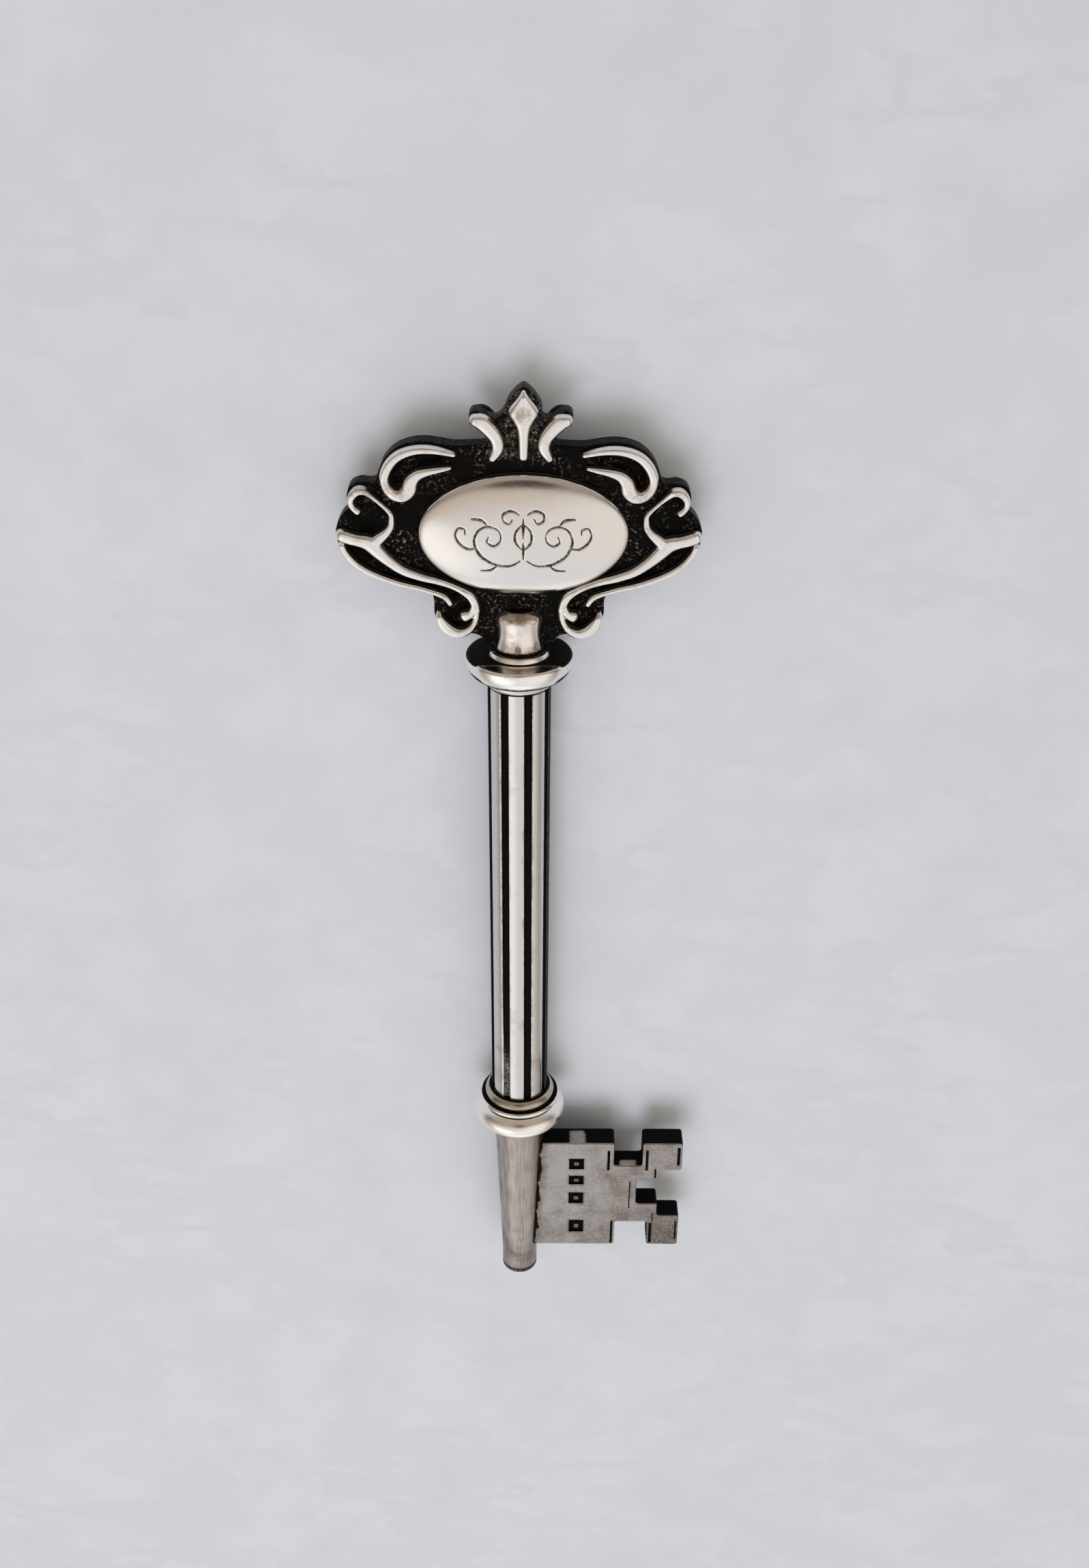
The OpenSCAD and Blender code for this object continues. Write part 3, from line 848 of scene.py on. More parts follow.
    centre_stem: Sequence[Stroke] = (
        ((0.0, -2.0, 0.1), (0.0, -1.0, 0.28), (0.0, -0.3, 0.12)),
        ((0.0, 0.3, 0.12), (0.0, 1.2, 0.3), (0.0, 2.3, 0.1)),
    )

    def build(self) -> None:
        """Make every piece of the bow, on the front and on the back."""
        bright = SCROLLS.material()
        polished = POLISHED.material()
        self._plate(GROUND.material())
        bud = Relief(self.crest_bud, IN_THE_MIDDLE, self.boss_lean)
        petal = Relief(self.crest_petal, lean=self.crest_lean)
        sides = [Relief(line) for line in (self.ear_hook, self.side_band, self.volute_hook)]
        work = {
            "crest": [bud, petal],
            "upper_scrolls": [Relief(self.upper_scroll)],
            "side_scrolls": sides,
            "lower_lips": [Relief(self.lower_lip)],
        }
        for name, reliefs in work.items():
            front = self._carved(name, reliefs)
            back = self._turned_over(front.copy())
            hand_in(front, f"front_{name}", bright)
            hand_in(back, f"back_{name}", bright)
        front_boss = self._boss("front", self.front_cells, engraved=True)
        hand_in(front_boss, "front_boss", polished)
        back_boss = self._turned_over(self._boss("back", self.back_cells, engraved=False))
        hand_in(back_boss, "back_boss", polished)

    @staticmethod
    def _turned_over(mesh: bpy.types.Mesh) -> bpy.types.Mesh:
        """Mirror a mesh from the front of the plate to its back."""
        mesh.transform(FRONT_TO_BACK)
        mesh.flip_normals()
        return mesh

    def _route(self, relief: Relief, side: int) -> list[Station]:
        """Lay out the sections of one stroke, with a rounded cap at each end.

        Args:
            relief: the stroke.
            side: 1 for the right half, -1 for the left.

        Returns:
            Place, direction, half width and share of the full size of each section.
        """
        path = flowing(relief.stroke, self.stroke_steps)
        path[:, 2] *= self.scroll_swell
        path[:, 0] = path[:, 0] * side + relief.lean
        path[:, 1] += self.bow_y
        along = np.gradient(path[:, :2], axis=0)
        along /= np.linalg.norm(along, axis=1)[:, None]
        caps: list[list[Station]] = []
        for end, sign in ((0, -1.0), (len(path) - 1, 1.0)):
            half = path[end, 2] / 2
            cap = []
            for reach in self.cap_reach:
                spot = path[end, :2] + along[end] * sign * half * reach
                cap.append((spot, along[end], half, math.sqrt(1.0 - reach * reach)))
            caps.append(cap)
        middle = [(spot[:2], way, spot[2] / 2, 1.0) for spot, way in zip(path, along)]
        return caps[0][::-1] + middle + caps[1]

    def _sweep(self, bm: bmesh.types.BMesh, route: Sequence[Station]) -> None:
        """Carry a rounded section along a route.

        Args:
            bm: the shape that the scroll is added to.
            route: the sections, in order.
        """
        made = bmesh.ops.create_circle(
            bm, cap_ends=False, radius=1.0, segments=self.section_faces
        )
        verts = made["verts"]
        for vert in verts:
            vert.co.x = math.copysign(abs(vert.co.x) ** self.section_power[0], vert.co.x)
            vert.co.y = math.copysign(abs(vert.co.y) ** self.section_power[1], vert.co.y)
        below = [vert for vert in verts if vert.co.y < 0.0]
        bmesh.ops.scale(bm, vec=(1.0, self.scroll_dip / self.scroll_rise, 1.0), verts=below)
        edges = edges_at(verts)
        bmesh.ops.contextual_create(bm, geom=edges)
        before = Matrix.Identity(4)
        for number, (spot, way, half, share) in enumerate(route):
            fullness = min(1.0, self.low_rise + self.rise_by_width * half * 2)
            height = self.scroll_rise * fullness * share**self.cap_power
            across = Vector((-way[1], way[0], 0.0)) * half * share
            axes = Matrix((across, Vector((0.0, 0.0, height)), Vector((way[0], way[1], 0.0))))
            now = axes.transposed().to_4x4()
            now.translation = (spot[0], spot[1], self.plate_half)
            if number:
                verts, edges = extruded(bm, edges)
            bmesh.ops.transform(bm, matrix=now @ before.inverted(), verts=verts)
            before = now
        bmesh.ops.contextual_create(bm, geom=edges)

    def _carved(self, name: str, reliefs: Sequence[Relief]) -> bpy.types.Mesh:
        """Make one set of scrolls for the front.

        Args:
            name: name of the set.
            reliefs: its strokes.

        Returns:
            The scrolls as one skin, with their grime.
        """
        bm = bmesh.new()
        for relief in reliefs:
            for side in relief.sides:
                self._sweep(bm, self._route(relief, side))
        skin = remeshed(mesh_from(bm, name), self.scroll_voxel, self.scroll_smooth)
        soil(skin, self._scroll_grime)
        return skin

    def _scroll_grime(self, points: np.ndarray, normals: np.ndarray) -> np.ndarray:
        """Black patina at the foot of a scroll, rising up its flanks as painted shade, clean on its
        crown, with a tarnished bud.
        """
        height = (points[:, 2] - self.plate_half) / self.scroll_rise
        up = points[:, 1] - self.bow_y
        bud = np.hypot(
            (points[:, 0] - self.boss_lean) / self.bud_size[0], (up - self.bud_y) / self.bud_size[1]
        )
        tips = self.tip_across.over(np.abs(points[:, 0])) * self.tip_up.over(np.abs(up - self.tip_y))
        # patina at the foot, painted shade up the flanks
        return darkest(self.scroll_foot.over(height), self.bud_stain.over(bud), tips)

    def _outline(self) -> list[Spot]:
        """The whole edge of the plate, once round."""
        parts = (
            (self.bud_edge, self.boss_lean), (self.crest_edge, self.crest_lean),
            (self.plate_edge, 0.0),
        )
        halves = []
        for side in BOTH_SIDES:
            points = [
                (lean + side * x, self.bow_y + y) for edge, lean in parts for x, y in edge
            ]
            curve = [(float(x), float(y)) for x, y in flowing(points, self.edge_steps)]
            halves.append(curve + [(curve[-1][0], self.plate_foot_y)])
        return halves[0] + halves[1][:0:-1]

    def _plate(self, finish: bpy.types.Material) -> None:
        """Make the plate, with its dished hollows and its matted ground.

        Args:
            finish: material of the plate.
        """
        bm = bmesh.new()
        bm.faces.new([bm.verts.new((x, y, -self.plate_half)) for x, y in self._outline()])
        rounded(bm, thickened(bm, 2 * self.plate_half), self.plate_round, 3)
        skin = remeshed(mesh_from(bm, "plate"), self.plate_voxel, self.plate_smooth)
        points = coordinates(skin)
        flat = smooth_step(np.abs(facing(skin)[:, 2]), *self.plate_face)
        drop = self._dished(points)
        drop += self.matting * self._matted(points) * (drop < self.matting_limit)
        points[:, 2] -= np.sign(points[:, 2]) * drop * flat
        move_to(skin, points)
        soil(skin, self._ground_grime)
        hand_in(skin, "bow_plate", finish)

    def _dished(self, points: np.ndarray) -> np.ndarray:
        """How deep the hollows are at each point of the plate."""
        drop = np.zeros(len(points))
        for hollow in self.hollows:
            line = flowing(hollow.line, self.hollow_steps)
            line[:, 1] += self.bow_y
            for side in BOTH_SIDES:
                spots = np.column_stack((line[:, 0] * side, line[:, 1]))
                gap = np.linalg.norm(points[:, None, :2] - spots[None, :, :], axis=2)
                inside = 1.0 - (gap / line[None, :, 2]) ** 2
                drop = np.maximum(drop, hollow.depth * np.clip(inside.max(axis=1), 0.0, 1.0))
        return drop

    def _matted(self, points: np.ndarray) -> np.ndarray:
        """The punched pits of the ground, from 0 to 1, as two crossed and bent waves."""
        matted = np.ones(len(points))
        for axis, turns, bend_turns, bend in self.matting_waves:
            bent = np.sin(points[:, 1 - axis] * bend_turns) * bend
            matted *= 0.5 + 0.5 * np.sin(points[:, axis] * turns + bent)
        return matted

    def _ground_grime(self, points: np.ndarray, normals: np.ndarray) -> np.ndarray:
        """Black all over, a little worn under the crest, beside the boss and at the foot."""
        height = points[:, 1] - self.bow_y
        across = np.abs(points[:, 0])
        crest = self.crest_up.over(height) * self.crest_across.over(across)
        beside = self.beside_from.over(across) * self.beside_until.over(across)
        beside *= self.beside_up.over(np.abs(height))
        return self.ground_black - crest - beside - self.foot_worn.over(height)

    def _boss(self, name: str, cells: tuple[int, int], engraved: bool) -> bpy.types.Mesh:
        """Make one polished oval boss, rounded like a pebble.

        Args:
            name: name of the mesh.
            cells: cells across and up.
            engraved: whether the flourish is cut into it.

        Returns:
            The boss with its front up.
        """
        bm = bmesh.new()
        bmesh.ops.create_grid(bm, x_segments=cells[0], y_segments=cells[1], size=1.0)
        rim = [edge for edge in bm.edges if edge.is_boundary]
        lower, foot = extruded(bm, rim)
        bmesh.ops.translate(bm, vec=(0.0, 0.0, -1.0), verts=lower)
        bmesh.ops.contextual_create(bm, geom=foot)
        mesh = mesh_from(bm, f"{name}_boss")
        square = coordinates(mesh)
        under = square[:, 2] < -0.5
        u, v = square[:, 0], square[:, 1]
        x = u * np.sqrt(1.0 - v * v / 2.0)
        y = v * np.sqrt(1.0 - u * u / 2.0)
        reach = np.clip(np.hypot(x, y), 0.0, 1.0)
        dome = (self.boss_rise - self.boss_edge) * np.sqrt(1.0 - reach**self.boss_power)
        points = np.column_stack((x * self.boss_w / 2, y * self.boss_h / 2, dome))
        points[:, 2] += self.boss_edge
        points[under, 2] = self.boss_foot
        ink = np.zeros(len(points))
        if engraved:
            ink = self._engrave(points, under)
        points += (self.boss_lean, self.bow_y - self.boss_drop, self.plate_half)
        move_to(mesh, points)
        foot_grime = self.boss_grime.over(points[:, 2] - self.plate_half)
        soil(mesh, lambda _points, _normals: darkest(foot_grime, ink))
        return mesh

    def _engrave(self, points: np.ndarray, under: np.ndarray) -> np.ndarray:
        """Sink the flourish into the boss.

        Args:
            points: places on the boss, from its middle, which are lowered in the lines.
            under: the places on the boss's foot, which are left alone.

        Returns:
            How dark each place is.
        """
        lines = [flowing(stroke, self.line_steps) for stroke in self.centre_stem]
        for stroke in self.flourish:
            line = flowing(stroke, self.line_steps)
            lines += [line, line * np.array([-1.0, 1.0, 1.0])]
        ink = np.zeros(len(points))
        near = ~under & (np.abs(points[:, :2]) < self.line_field).all(axis=1)
        places = points[near, :2]
        depth = np.zeros(len(places))
        for line in lines:
            gap = np.linalg.norm(places[:, None, :] - line[None, :, :2], axis=2)
            half = line[None, :, 2] * self.line_widen + self.line_least
            depth = np.maximum(depth, np.clip(1.0 - (gap / half) ** 2, 0.0, 1.0).max(axis=1))
        points[near, 2] -= self.line_depth * depth
        ink[near] = self.line_grime.over(depth)
        return ink


# Turned pieces


@dataclass
class Neck:
    """The waisted socket that grips the plate like a fork, with its dowel."""

    start: float = 91.5
    length: float = 5.1
    dome: float = 1.3
    dome_power: float = 2.2
    foot_r: float = 2.7
    waist_r: float = 2.45
    dowel_r: float = 1.7
    dowel_len: float = 11.07
    slot_foot: float = 92.4
    slot_half: float = 1.19
    slot_reach: float = 6.0
    slot_above: float = 2.0
    top_black: Fade = Fade(0.82, 0.97)
    slot_black: Fade = Fade(1.3, 1.2)
    foot_black: Fade = Fade(0.9, -0.1)
    # A brown T across the fork's cap is a painted reflection.
    cap: Fade = Fade(94.9, 95.4)
    cap_reflection: float = 0.2
    bar_reflection: Fade = Fade(1.5, 0.8, 0.46)
    bar_shift: float = 0.4
    bar_sway: float = 0.25
    bar_turns: float = 9.0
    spot_place: Spot = (-0.1, 92.3)
    spot_size: Spot = (0.7, 0.9)
    spot_stain: Fade = Fade(1.0, 0.3, 0.5)
    low_stain: Fade = Fade(93.6, 92.6, 0.3)
    waist_steps: int = 24
    dome_steps: int = 16
    faces_round: int = 160
    sharp: float = 38.0

    def build(self) -> None:
        """Turn the neck and saw its slot."""
        end = self.start + self.length
        profile: list[Spot] = [(0.0, self.start - self.dowel_len)]
        profile += [(self.dowel_r, self.start - self.dowel_len), (self.dowel_r, self.start)]
        waist_len = self.length - self.dome
        for s in range(self.waist_steps + 1):
            share = s / self.waist_steps
            radius = self.foot_r - (self.foot_r - self.waist_r) * math.sin(math.pi * share)
            profile.append((radius, self.start + waist_len * share))
        for s in range(1, self.dome_steps + 1):
            rise = math.sin(math.radians(90 * s / self.dome_steps))
            fall = max(0.0, 1.0 - rise**self.dome_power) ** (1.0 / self.dome_power)
            profile.append((self.foot_r * fall, self.start + waist_len + self.dome * rise))
        neck = turned(profile, "neck", ring=False, steps=self.faces_round)
        slot = box_shape(
            (-self.slot_reach, self.slot_foot, -self.slot_half),
            (self.slot_reach, end + self.slot_above, self.slot_half),
        )
        neck = cut(neck, mesh_from(slot, "neck_slot"))
        soil(neck, self._grime)
        hand_in(neck, "neck_fork", NECK.material(), self.sharp)

    def _grime(self, points: np.ndarray, normals: np.ndarray) -> np.ndarray:
        """Black on the fork's top, beside the plate and at its foot; a painted brown reflection
        across its cap; brown stains elsewhere.
        """
        x, up = points[:, 0], points[:, 1]
        cap = self.cap.over(up)
        bar = x + self.bar_shift + self.bar_sway * np.sin(up * self.bar_turns)
        spot = np.hypot(
            (x - self.spot_place[0]) / self.spot_size[0],
            (up - self.spot_place[1]) / self.spot_size[1],
        )
        return darkest(
            self.top_black.over(normals[:, 1]),
            self.slot_black.over(np.abs(points[:, 2])),
            self.foot_black.over(up - self.start),
            # the painted brown reflection, a T across the cap
            self.cap_reflection * cap,
            self.bar_reflection.over(np.abs(bar)) * cap,
            self.spot_stain.over(spot),
            self.low_stain.over(up),
        )


@dataclass
class TurnedRing:
    """One bored ring on the key's axis."""

    node: str
    start: float
    length: float
    foot_r: float
    top_r: float
    slot: Slot
    steps: int = 24
    bore_r: float = 1.74
    end_steps: int = 8
    shape_steps: int = 5
    sharp: float = 50.0
    seam: float = 0.16
    top_seam: float | None = None
    shape: Sequence[Spot] = ()
    bow_side_black: bool = False
    neck_side_black: bool = False
    # A faint olive band high on the bow collar's front is a painted reflection.
    olive_reflection_at: float = 0.82
    olive_reflection: Fade = Fade(0.4, 0.1, 0.14)
    # Black low on the bow collar's sides and on its bow-facing face beside the neck is patina with
    # painted shade.
    shade_under_low: Fade = Fade(1.5, 0.8)
    shade_under_depth: Fade = Fade(4.6, 3.2)
    inner: Fade = Fade(-0.3, -0.7)
    top_facing: Fade = Fade(0.15, 0.55)
    top_depth: Fade = Fade(4.1, 2.7)
    neck_depth: Fade = Fade(1.3, 0.7)
    neck_round: Fade = Fade(2.95, 2.8)

    def build(self, finish: bpy.types.Material) -> None:
        """Turn the ring.

        Args:
            finish: material of the ring.
        """
        profile = bead_profile(self.start, self.length, self.foot_r, self.top_r, self.steps)
        if self.shape:
            curve = np.clip(flowing(self.shape, self.shape_steps), 0.0, 1.0)
            depth = self.top_r - self.foot_r
            profile = [
                (self.foot_r + depth * float(out), self.start + self.length * float(up))
                for up, out in curve
            ]
        for s in range(1, self.end_steps + 1):
            inward = (self.foot_r - self.bore_r) * s / self.end_steps
            profile.append((self.foot_r - inward, self.start + self.length))
        profile.append((self.bore_r, self.start))
        mesh = turned(profile, self.node, ring=True)
        soil(mesh, self._grime)
        hand_in(mesh, self.node, finish, self.sharp)

    def _grime(self, points: np.ndarray, normals: np.ndarray) -> np.ndarray:
        """Black in the seams to the neighbours and round the neck where that is wanted; on the bow
        collar, patina with painted shade on its sides and a painted olive reflection.
        """
        radius = np.hypot(points[:, 0], points[:, 2])
        depth = np.abs(points[:, 2])
        low = points[:, 1] - self.start
        seam = smooth_step(low, self.seam, 0.0)
        if self.bow_side_black:
            # a painted olive reflection high on the front
            olive_reflection = self.olive_reflection.over(np.abs(low - self.length * self.olive_reflection_at))
            # patina with painted shade low on the sides and on the bow-facing face
            under = self.shade_under_low.over(low) * self.shade_under_depth.over(depth)
            inner = self.inner.over(radius - self.foot_r)
            top = self.top_facing.over(normals[:, 1]) * darkest(self.top_depth.over(depth), inner)
            return darkest(seam, under, olive_reflection, top)
        if self.neck_side_black:
            return darkest(seam, self.neck_depth.over(depth), self.neck_round.over(radius))
        top_seam = self.seam if self.top_seam is None else self.top_seam
        return darkest(seam, smooth_step(self.length - low, top_seam, 0.0))


BOWL: Sequence[Spot] = (
    (0.0, 0.0), (0.02, 0.2), (0.07, 0.42), (0.16, 0.63), (0.29, 0.81), (0.45, 0.93),
    (0.62, 0.99), (0.8, 1.0), (0.91, 0.97), (0.97, 0.89), (1.0, 0.74), (1.0, 0.35), (1.0, 0.0),
)
SLOPED: Sequence[Spot] = (
    (0.0, 0.0), (0.01, 0.6), (0.04, 0.95), (0.12, 1.0), (0.35, 0.85), (0.6, 0.66),
    (0.85, 0.45), (0.95, 0.3), (1.0, 0.0),
)
NECK_FILLET = TurnedRing(
    "neck_fillet", 90.95, 0.55, 3.075, 3.35, Slot.BRIGHT, seam=0.07, shape=SLOPED,
    neck_side_black=True,
)
# The bow collar's wide low seam is a dark joint widened into painted shade beside the bead.
BOW_COLLAR = TurnedRing(
    "bow_collar", 88.45, 2.5, 4.2, 5.725, Slot.BRIGHT, seam=1.25, shape=BOWL, bow_side_black=True
)
COLLAR_BEAD = TurnedRing(
    "collar_bead", 87.35, 1.1, 3.15, 3.7, Slot.AGED, 18, seam=0.3, top_seam=0.16
)
STOP_BEAD = TurnedRing("stop_bead", 29.5, 0.75, 4.525, 4.9, Slot.BRIGHT, 16, seam=0.12)
STOP_COLLAR = TurnedRing("stop_collar", 26.2, 3.3, 3.785, 5.6, Slot.BRIGHT, 36)


@dataclass
class Gland:
    """The ring with a hollow flank that the shank stands on."""

    start: float = 30.25
    length: float = 1.1
    radius: float = 4.25
    bore_r: float = 1.74
    shape: Sequence[Spot] = ((0.0, 0.0), (0.0, 0.35), (0.2, 0.75), (0.5, 1.0))
    shape_steps: int = 6
    sharp: float = 50.0
    low_seam: Fade = Fade(0.22, 0.0)
    high_seam: Fade = Fade(0.12, 0.0)

    def build(self) -> None:
        """Turn the gland."""
        shape = [
            (self.radius - self.length * inward, self.start + self.length * up)
            for inward, up in self.shape
        ]
        curve = flowing(shape, self.shape_steps)
        profile = [(float(radius), float(height)) for radius, height in curve]
        profile += [(self.bore_r, self.start + self.length), (self.bore_r, self.start)]
        mesh = turned(profile, "gland", ring=True)
        soil(mesh, self._grime)
        hand_in(mesh, "stop_gland", AGED.material(), self.sharp)

    def _grime(self, points: np.ndarray, normals: np.ndarray) -> np.ndarray:
        """Black where it meets the bead and the shank."""
        low = points[:, 1] - self.start
        return darkest(self.low_seam.over(low), self.high_seam.over(self.length - low))


@dataclass
class Shank:
    """The fluted rod between the two collars, bored at both ends for the dowels."""

    start: float = 31.35
    length: float = 56.0
    radius: float = 3.425
    flutes: int = 8
    flute_r: float = 0.45
    turn: float = 17.5
    bore_r: float = 1.74
    bore_depth: float = 7.0
    bore_faces: int = 64
    lip: float = 0.06
    lip_angle: float = 2.2
    end_rows: Span = (0.05, 0.14)
    rows: int = 56
    sharp: float = 70.0
    flute_black: Fade = Fade(-0.03, -0.14)
    # Darker edges of the lands are patina with painted shade.
    land_edge: Fade = Fade(13.0, 7.6, 0.46)
    rubbed_angle: Fade = Fade(12.0, 8.0, 0.44)
    rubbed_height: Fade = Fade(46.0, 36.0)
    # Black on the lands that face sideways is painted shade.
    right_shade_from: Fade = Fade(69.5, 71.0, 0.9)
    right_shade_until: Fade = Fade(110.0, 102.0)
    left_shade_from: Fade = Fade(-79.0, -81.0, 0.9)
    left_shade_until: Fade = Fade(-110.0, -102.0)
    low_stain: Fade = Fade(52.0, 36.0, 0.22)
    end_black: Fade = Fade(0.12, 0.0)
    samples: Sequence[float] = (
        0.0, 1.6, 3.2, 4.7, 5.9, 6.7, 7.25, 7.7, 8.3, 9.2, 11.0, 14.0, 18.0, 22.5,
    )

    def build(self) -> None:
        """Draw the fluted section, run it along the shank and bore its ends."""
        section = self._section()
        bm = bmesh.new()
        made = bmesh.ops.create_circle(bm, cap_ends=False, radius=1.0, segments=len(section))
        ring = made["verts"]
        for vert, (x, z) in zip(ring, section):
            vert.co = (x, self.start, z)
        edges = edges_at(ring)
        first = edges
        near, far = self.end_rows
        heights = [0.0, near, far]
        heights += [
            far + (self.length - 2 * far) * s / self.rows for s in range(1, self.rows + 1)
        ]
        heights += [self.length - near, self.length]
        for low, high in zip(heights, heights[1:]):
            verts, edges = extruded(bm, edges)
            bmesh.ops.translate(bm, vec=(0.0, high - low, 0.0), verts=verts)
        self._bore(bm, first, self.start, 1.0)
        self._bore(bm, edges, self.start + self.length, -1.0)
        mesh = mesh_from(bm, "shank")
        soil(mesh, self._grime)
        hand_in(mesh, "shank", DRAWN.material(), self.sharp)

    def _section(self) -> list[Spot]:
        """Points of the fluted section, once round."""
        angles: list[float] = []
        for number in range(self.flutes):
            middle = 360.0 / self.flutes * number + self.turn
            angles += [middle - a for a in self.samples[:0:-1]][1:]
            angles += [middle + a for a in self.samples]
        points = []
        for angle in angles:
            period = 360.0 / self.flutes
            off = (angle - self.turn + period / 2) % period - period / 2
            radius = self._radius_at(math.radians(abs(off)))
            turn = math.radians(angle)
            points.append((radius * math.sin(turn), radius * math.cos(turn)))
        return points

    def _radius_at(self, off: float) -> float:
        """Radius of the section at an angle from a flute's middle, with a rounded lip."""
        edge = math.asin(self.flute_r / self.radius)
        if off < edge:
            inside = self.flute_r**2 - (self.radius * math.sin(off)) ** 2
            return self.radius * math.cos(off) - math.sqrt(max(inside, 0.0))
        nearness = max(0.0, 1.0 - (off - edge) / math.radians(self.lip_angle))
        return self.radius - self.lip * nearness**2

    def _bore(
        self, bm: bmesh.types.BMesh, rim: list[bmesh.types.BMEdge], height: float, way: float
    ) -> None:
        """Close one end with a blind hole for a dowel.

        Args:
            bm: the shank's shape.
            rim: edges of the open end.
            height: place of the end along the axis.
            way: direction into the shank, 1 or -1.
        """
        matrix = Matrix.Translation((0.0, height, 0.0)) @ Matrix.Rotation(math.pi / 2, 4, "X")
        made = bmesh.ops.create_circle(
            bm, cap_ends=False, radius=self.bore_r, segments=self.bore_faces, matrix=matrix
        )
        mouth = edges_at(made["verts"])
        bmesh.ops.bridge_loops(bm, edges=rim + mouth)
        verts, floor = extruded(bm, mouth)
        bmesh.ops.translate(bm, vec=(0.0, way * self.bore_depth, 0.0), verts=verts)
        bmesh.ops.contextual_create(bm, geom=floor)

    def _grime(self, points: np.ndarray, normals: np.ndarray) -> np.ndarray:
        """Patina in the flutes and at the ends, patina with painted shade at the land edges, painted
        shade on the sideways lands; one flute is rubbed.
        """
        radius = np.hypot(points[:, 0], points[:, 2])
        height = points[:, 1]
        ends = np.minimum(height - self.start, self.start + self.length - height)
        angle = np.degrees(np.arctan2(points[:, 0], points[:, 2]))
        period = 360.0 / self.flutes
        off = np.abs((angle - self.turn + period / 2) % period - period / 2)
        # patina in the flutes; patina with painted shade along the land edges
        flute = darkest(self.flute_black.over(radius - self.radius), self.land_edge.over(off))
        rubbed = self.rubbed_angle.over(np.abs(angle - self.turn + period))
        flute *= 1.0 - rubbed * self.rubbed_height.over(height)
        # painted shade on the sideways lands
        right = self.right_shade_from.over(angle) * self.right_shade_until.over(angle)
        left = self.left_shade_from.over(angle) * self.left_shade_until.over(angle)
        return darkest(flute, right, left, self.low_stain.over(height), self.end_black.over(ends))


@dataclass
class Pin:
    """The tapered pin with its straight nose, its slot for the bit and its dowel."""

    length: float = 26.2
    nose_r: float = 2.25
    nose_len: float = 3.2
    top_r: float = 3.1
    nose_round: float = 0.5
    dowel_r: float = 1.7
    dowel_len: float = 12.07
    slot_x: float = 0.66
    slot_low: float = 4.76
    slot_high: float = 22.54
    slot_half: float = 0.84
    slot_reach: float = 6.0
    nose_steps: int = 8
    taper_steps: int = 23
    faces_round: int = 144
    sharp: float = 40.0
    nose_rows: Spot = (0.35, 0.7)
    joint_taper: float = 0.028
    # Black beside the bit is a dark joint deepened with painted shade.
    joint_across: Fade = Fade(2.3, 2.9, 0.7)
    joint_from: Fade = Fade(4.3, 5.0)
    joint_until: Fade = Fade(23.2, 22.4)
    top_black: Fade = Fade(-0.25, 0.0)
    tip_from: Fade = Fade(0.2, 0.5, 0.55)
    tip_until: Fade = Fade(1.5, 0.8)
    # Darker on the sides that face across: painted shade.
    side_shade: Fade = Fade(0.72, 0.95, 0.36)
    low_stain: Fade = Fade(9.0, 2.0, 0.3)

    def profile(self, grow: float) -> list[Spot]:
        """Radius and height of the pin's body, made wider all round by grow."""
        spots: list[Spot] = [(0.0, 0.0)]
        for s in range(self.nose_steps + 1):
            turn = math.radians(90 * s / self.nose_steps)
            radius = self.nose_r + grow - self.nose_round * (1.0 - math.sin(turn))
            spots.append((radius, self.nose_round * (1.0 - math.cos(turn))))
        spots += [(self.nose_r + grow, self.nose_round + height) for height in self.nose_rows]
        spots.append((self.nose_r + grow, self.nose_len))
        for s in range(1, self.taper_steps + 1):
            share = s / self.taper_steps
            radius = self.nose_r + (self.top_r - self.nose_r) * share + grow
            spots.append((radius, self.nose_len + (self.length - self.nose_len) * share))
        return spots

    def build(self) -> None:
        """Turn the pin and cut the slot that the bit is let into."""
        profile = self.profile(0.0)
        end = self.length + self.dowel_len
        profile += [(self.dowel_r, self.length), (self.dowel_r, end), (0.0, end)]
        pin = turned(profile, "pin", ring=False, steps=self.faces_round)
        slot = box_shape(
            (self.slot_x, self.slot_low, -self.slot_half),
            (self.slot_reach, self.slot_high, self.slot_half),
        )
        pin = cut(pin, mesh_from(slot, "pin_slot"))
        soil(pin, self._grime)
        hand_in(pin, "pin", SATIN.material(), self.sharp)

    def _grime(self, points: np.ndarray, normals: np.ndarray) -> np.ndarray:
        """Black with painted shade beside the bit, black under the stop collar, painted shade on the
        sides, brown low down.
        """
        height = points[:, 1]
        across = points[:, 0] - self.joint_taper * (height - self.length)
        joint = self.joint_from.over(height) * self.joint_until.over(height)
        return darkest(
            # the joint to the bit, a dark line with painted shade
            joint * self.joint_across.over(across),
            self.top_black.over(height - self.length),
            self.tip_from.over(height) * self.tip_until.over(height),
            # painted shade on the sides
            self.side_shade.over(np.abs(normals[:, 0])),
            self.low_stain.over(height),
        )


# The bit


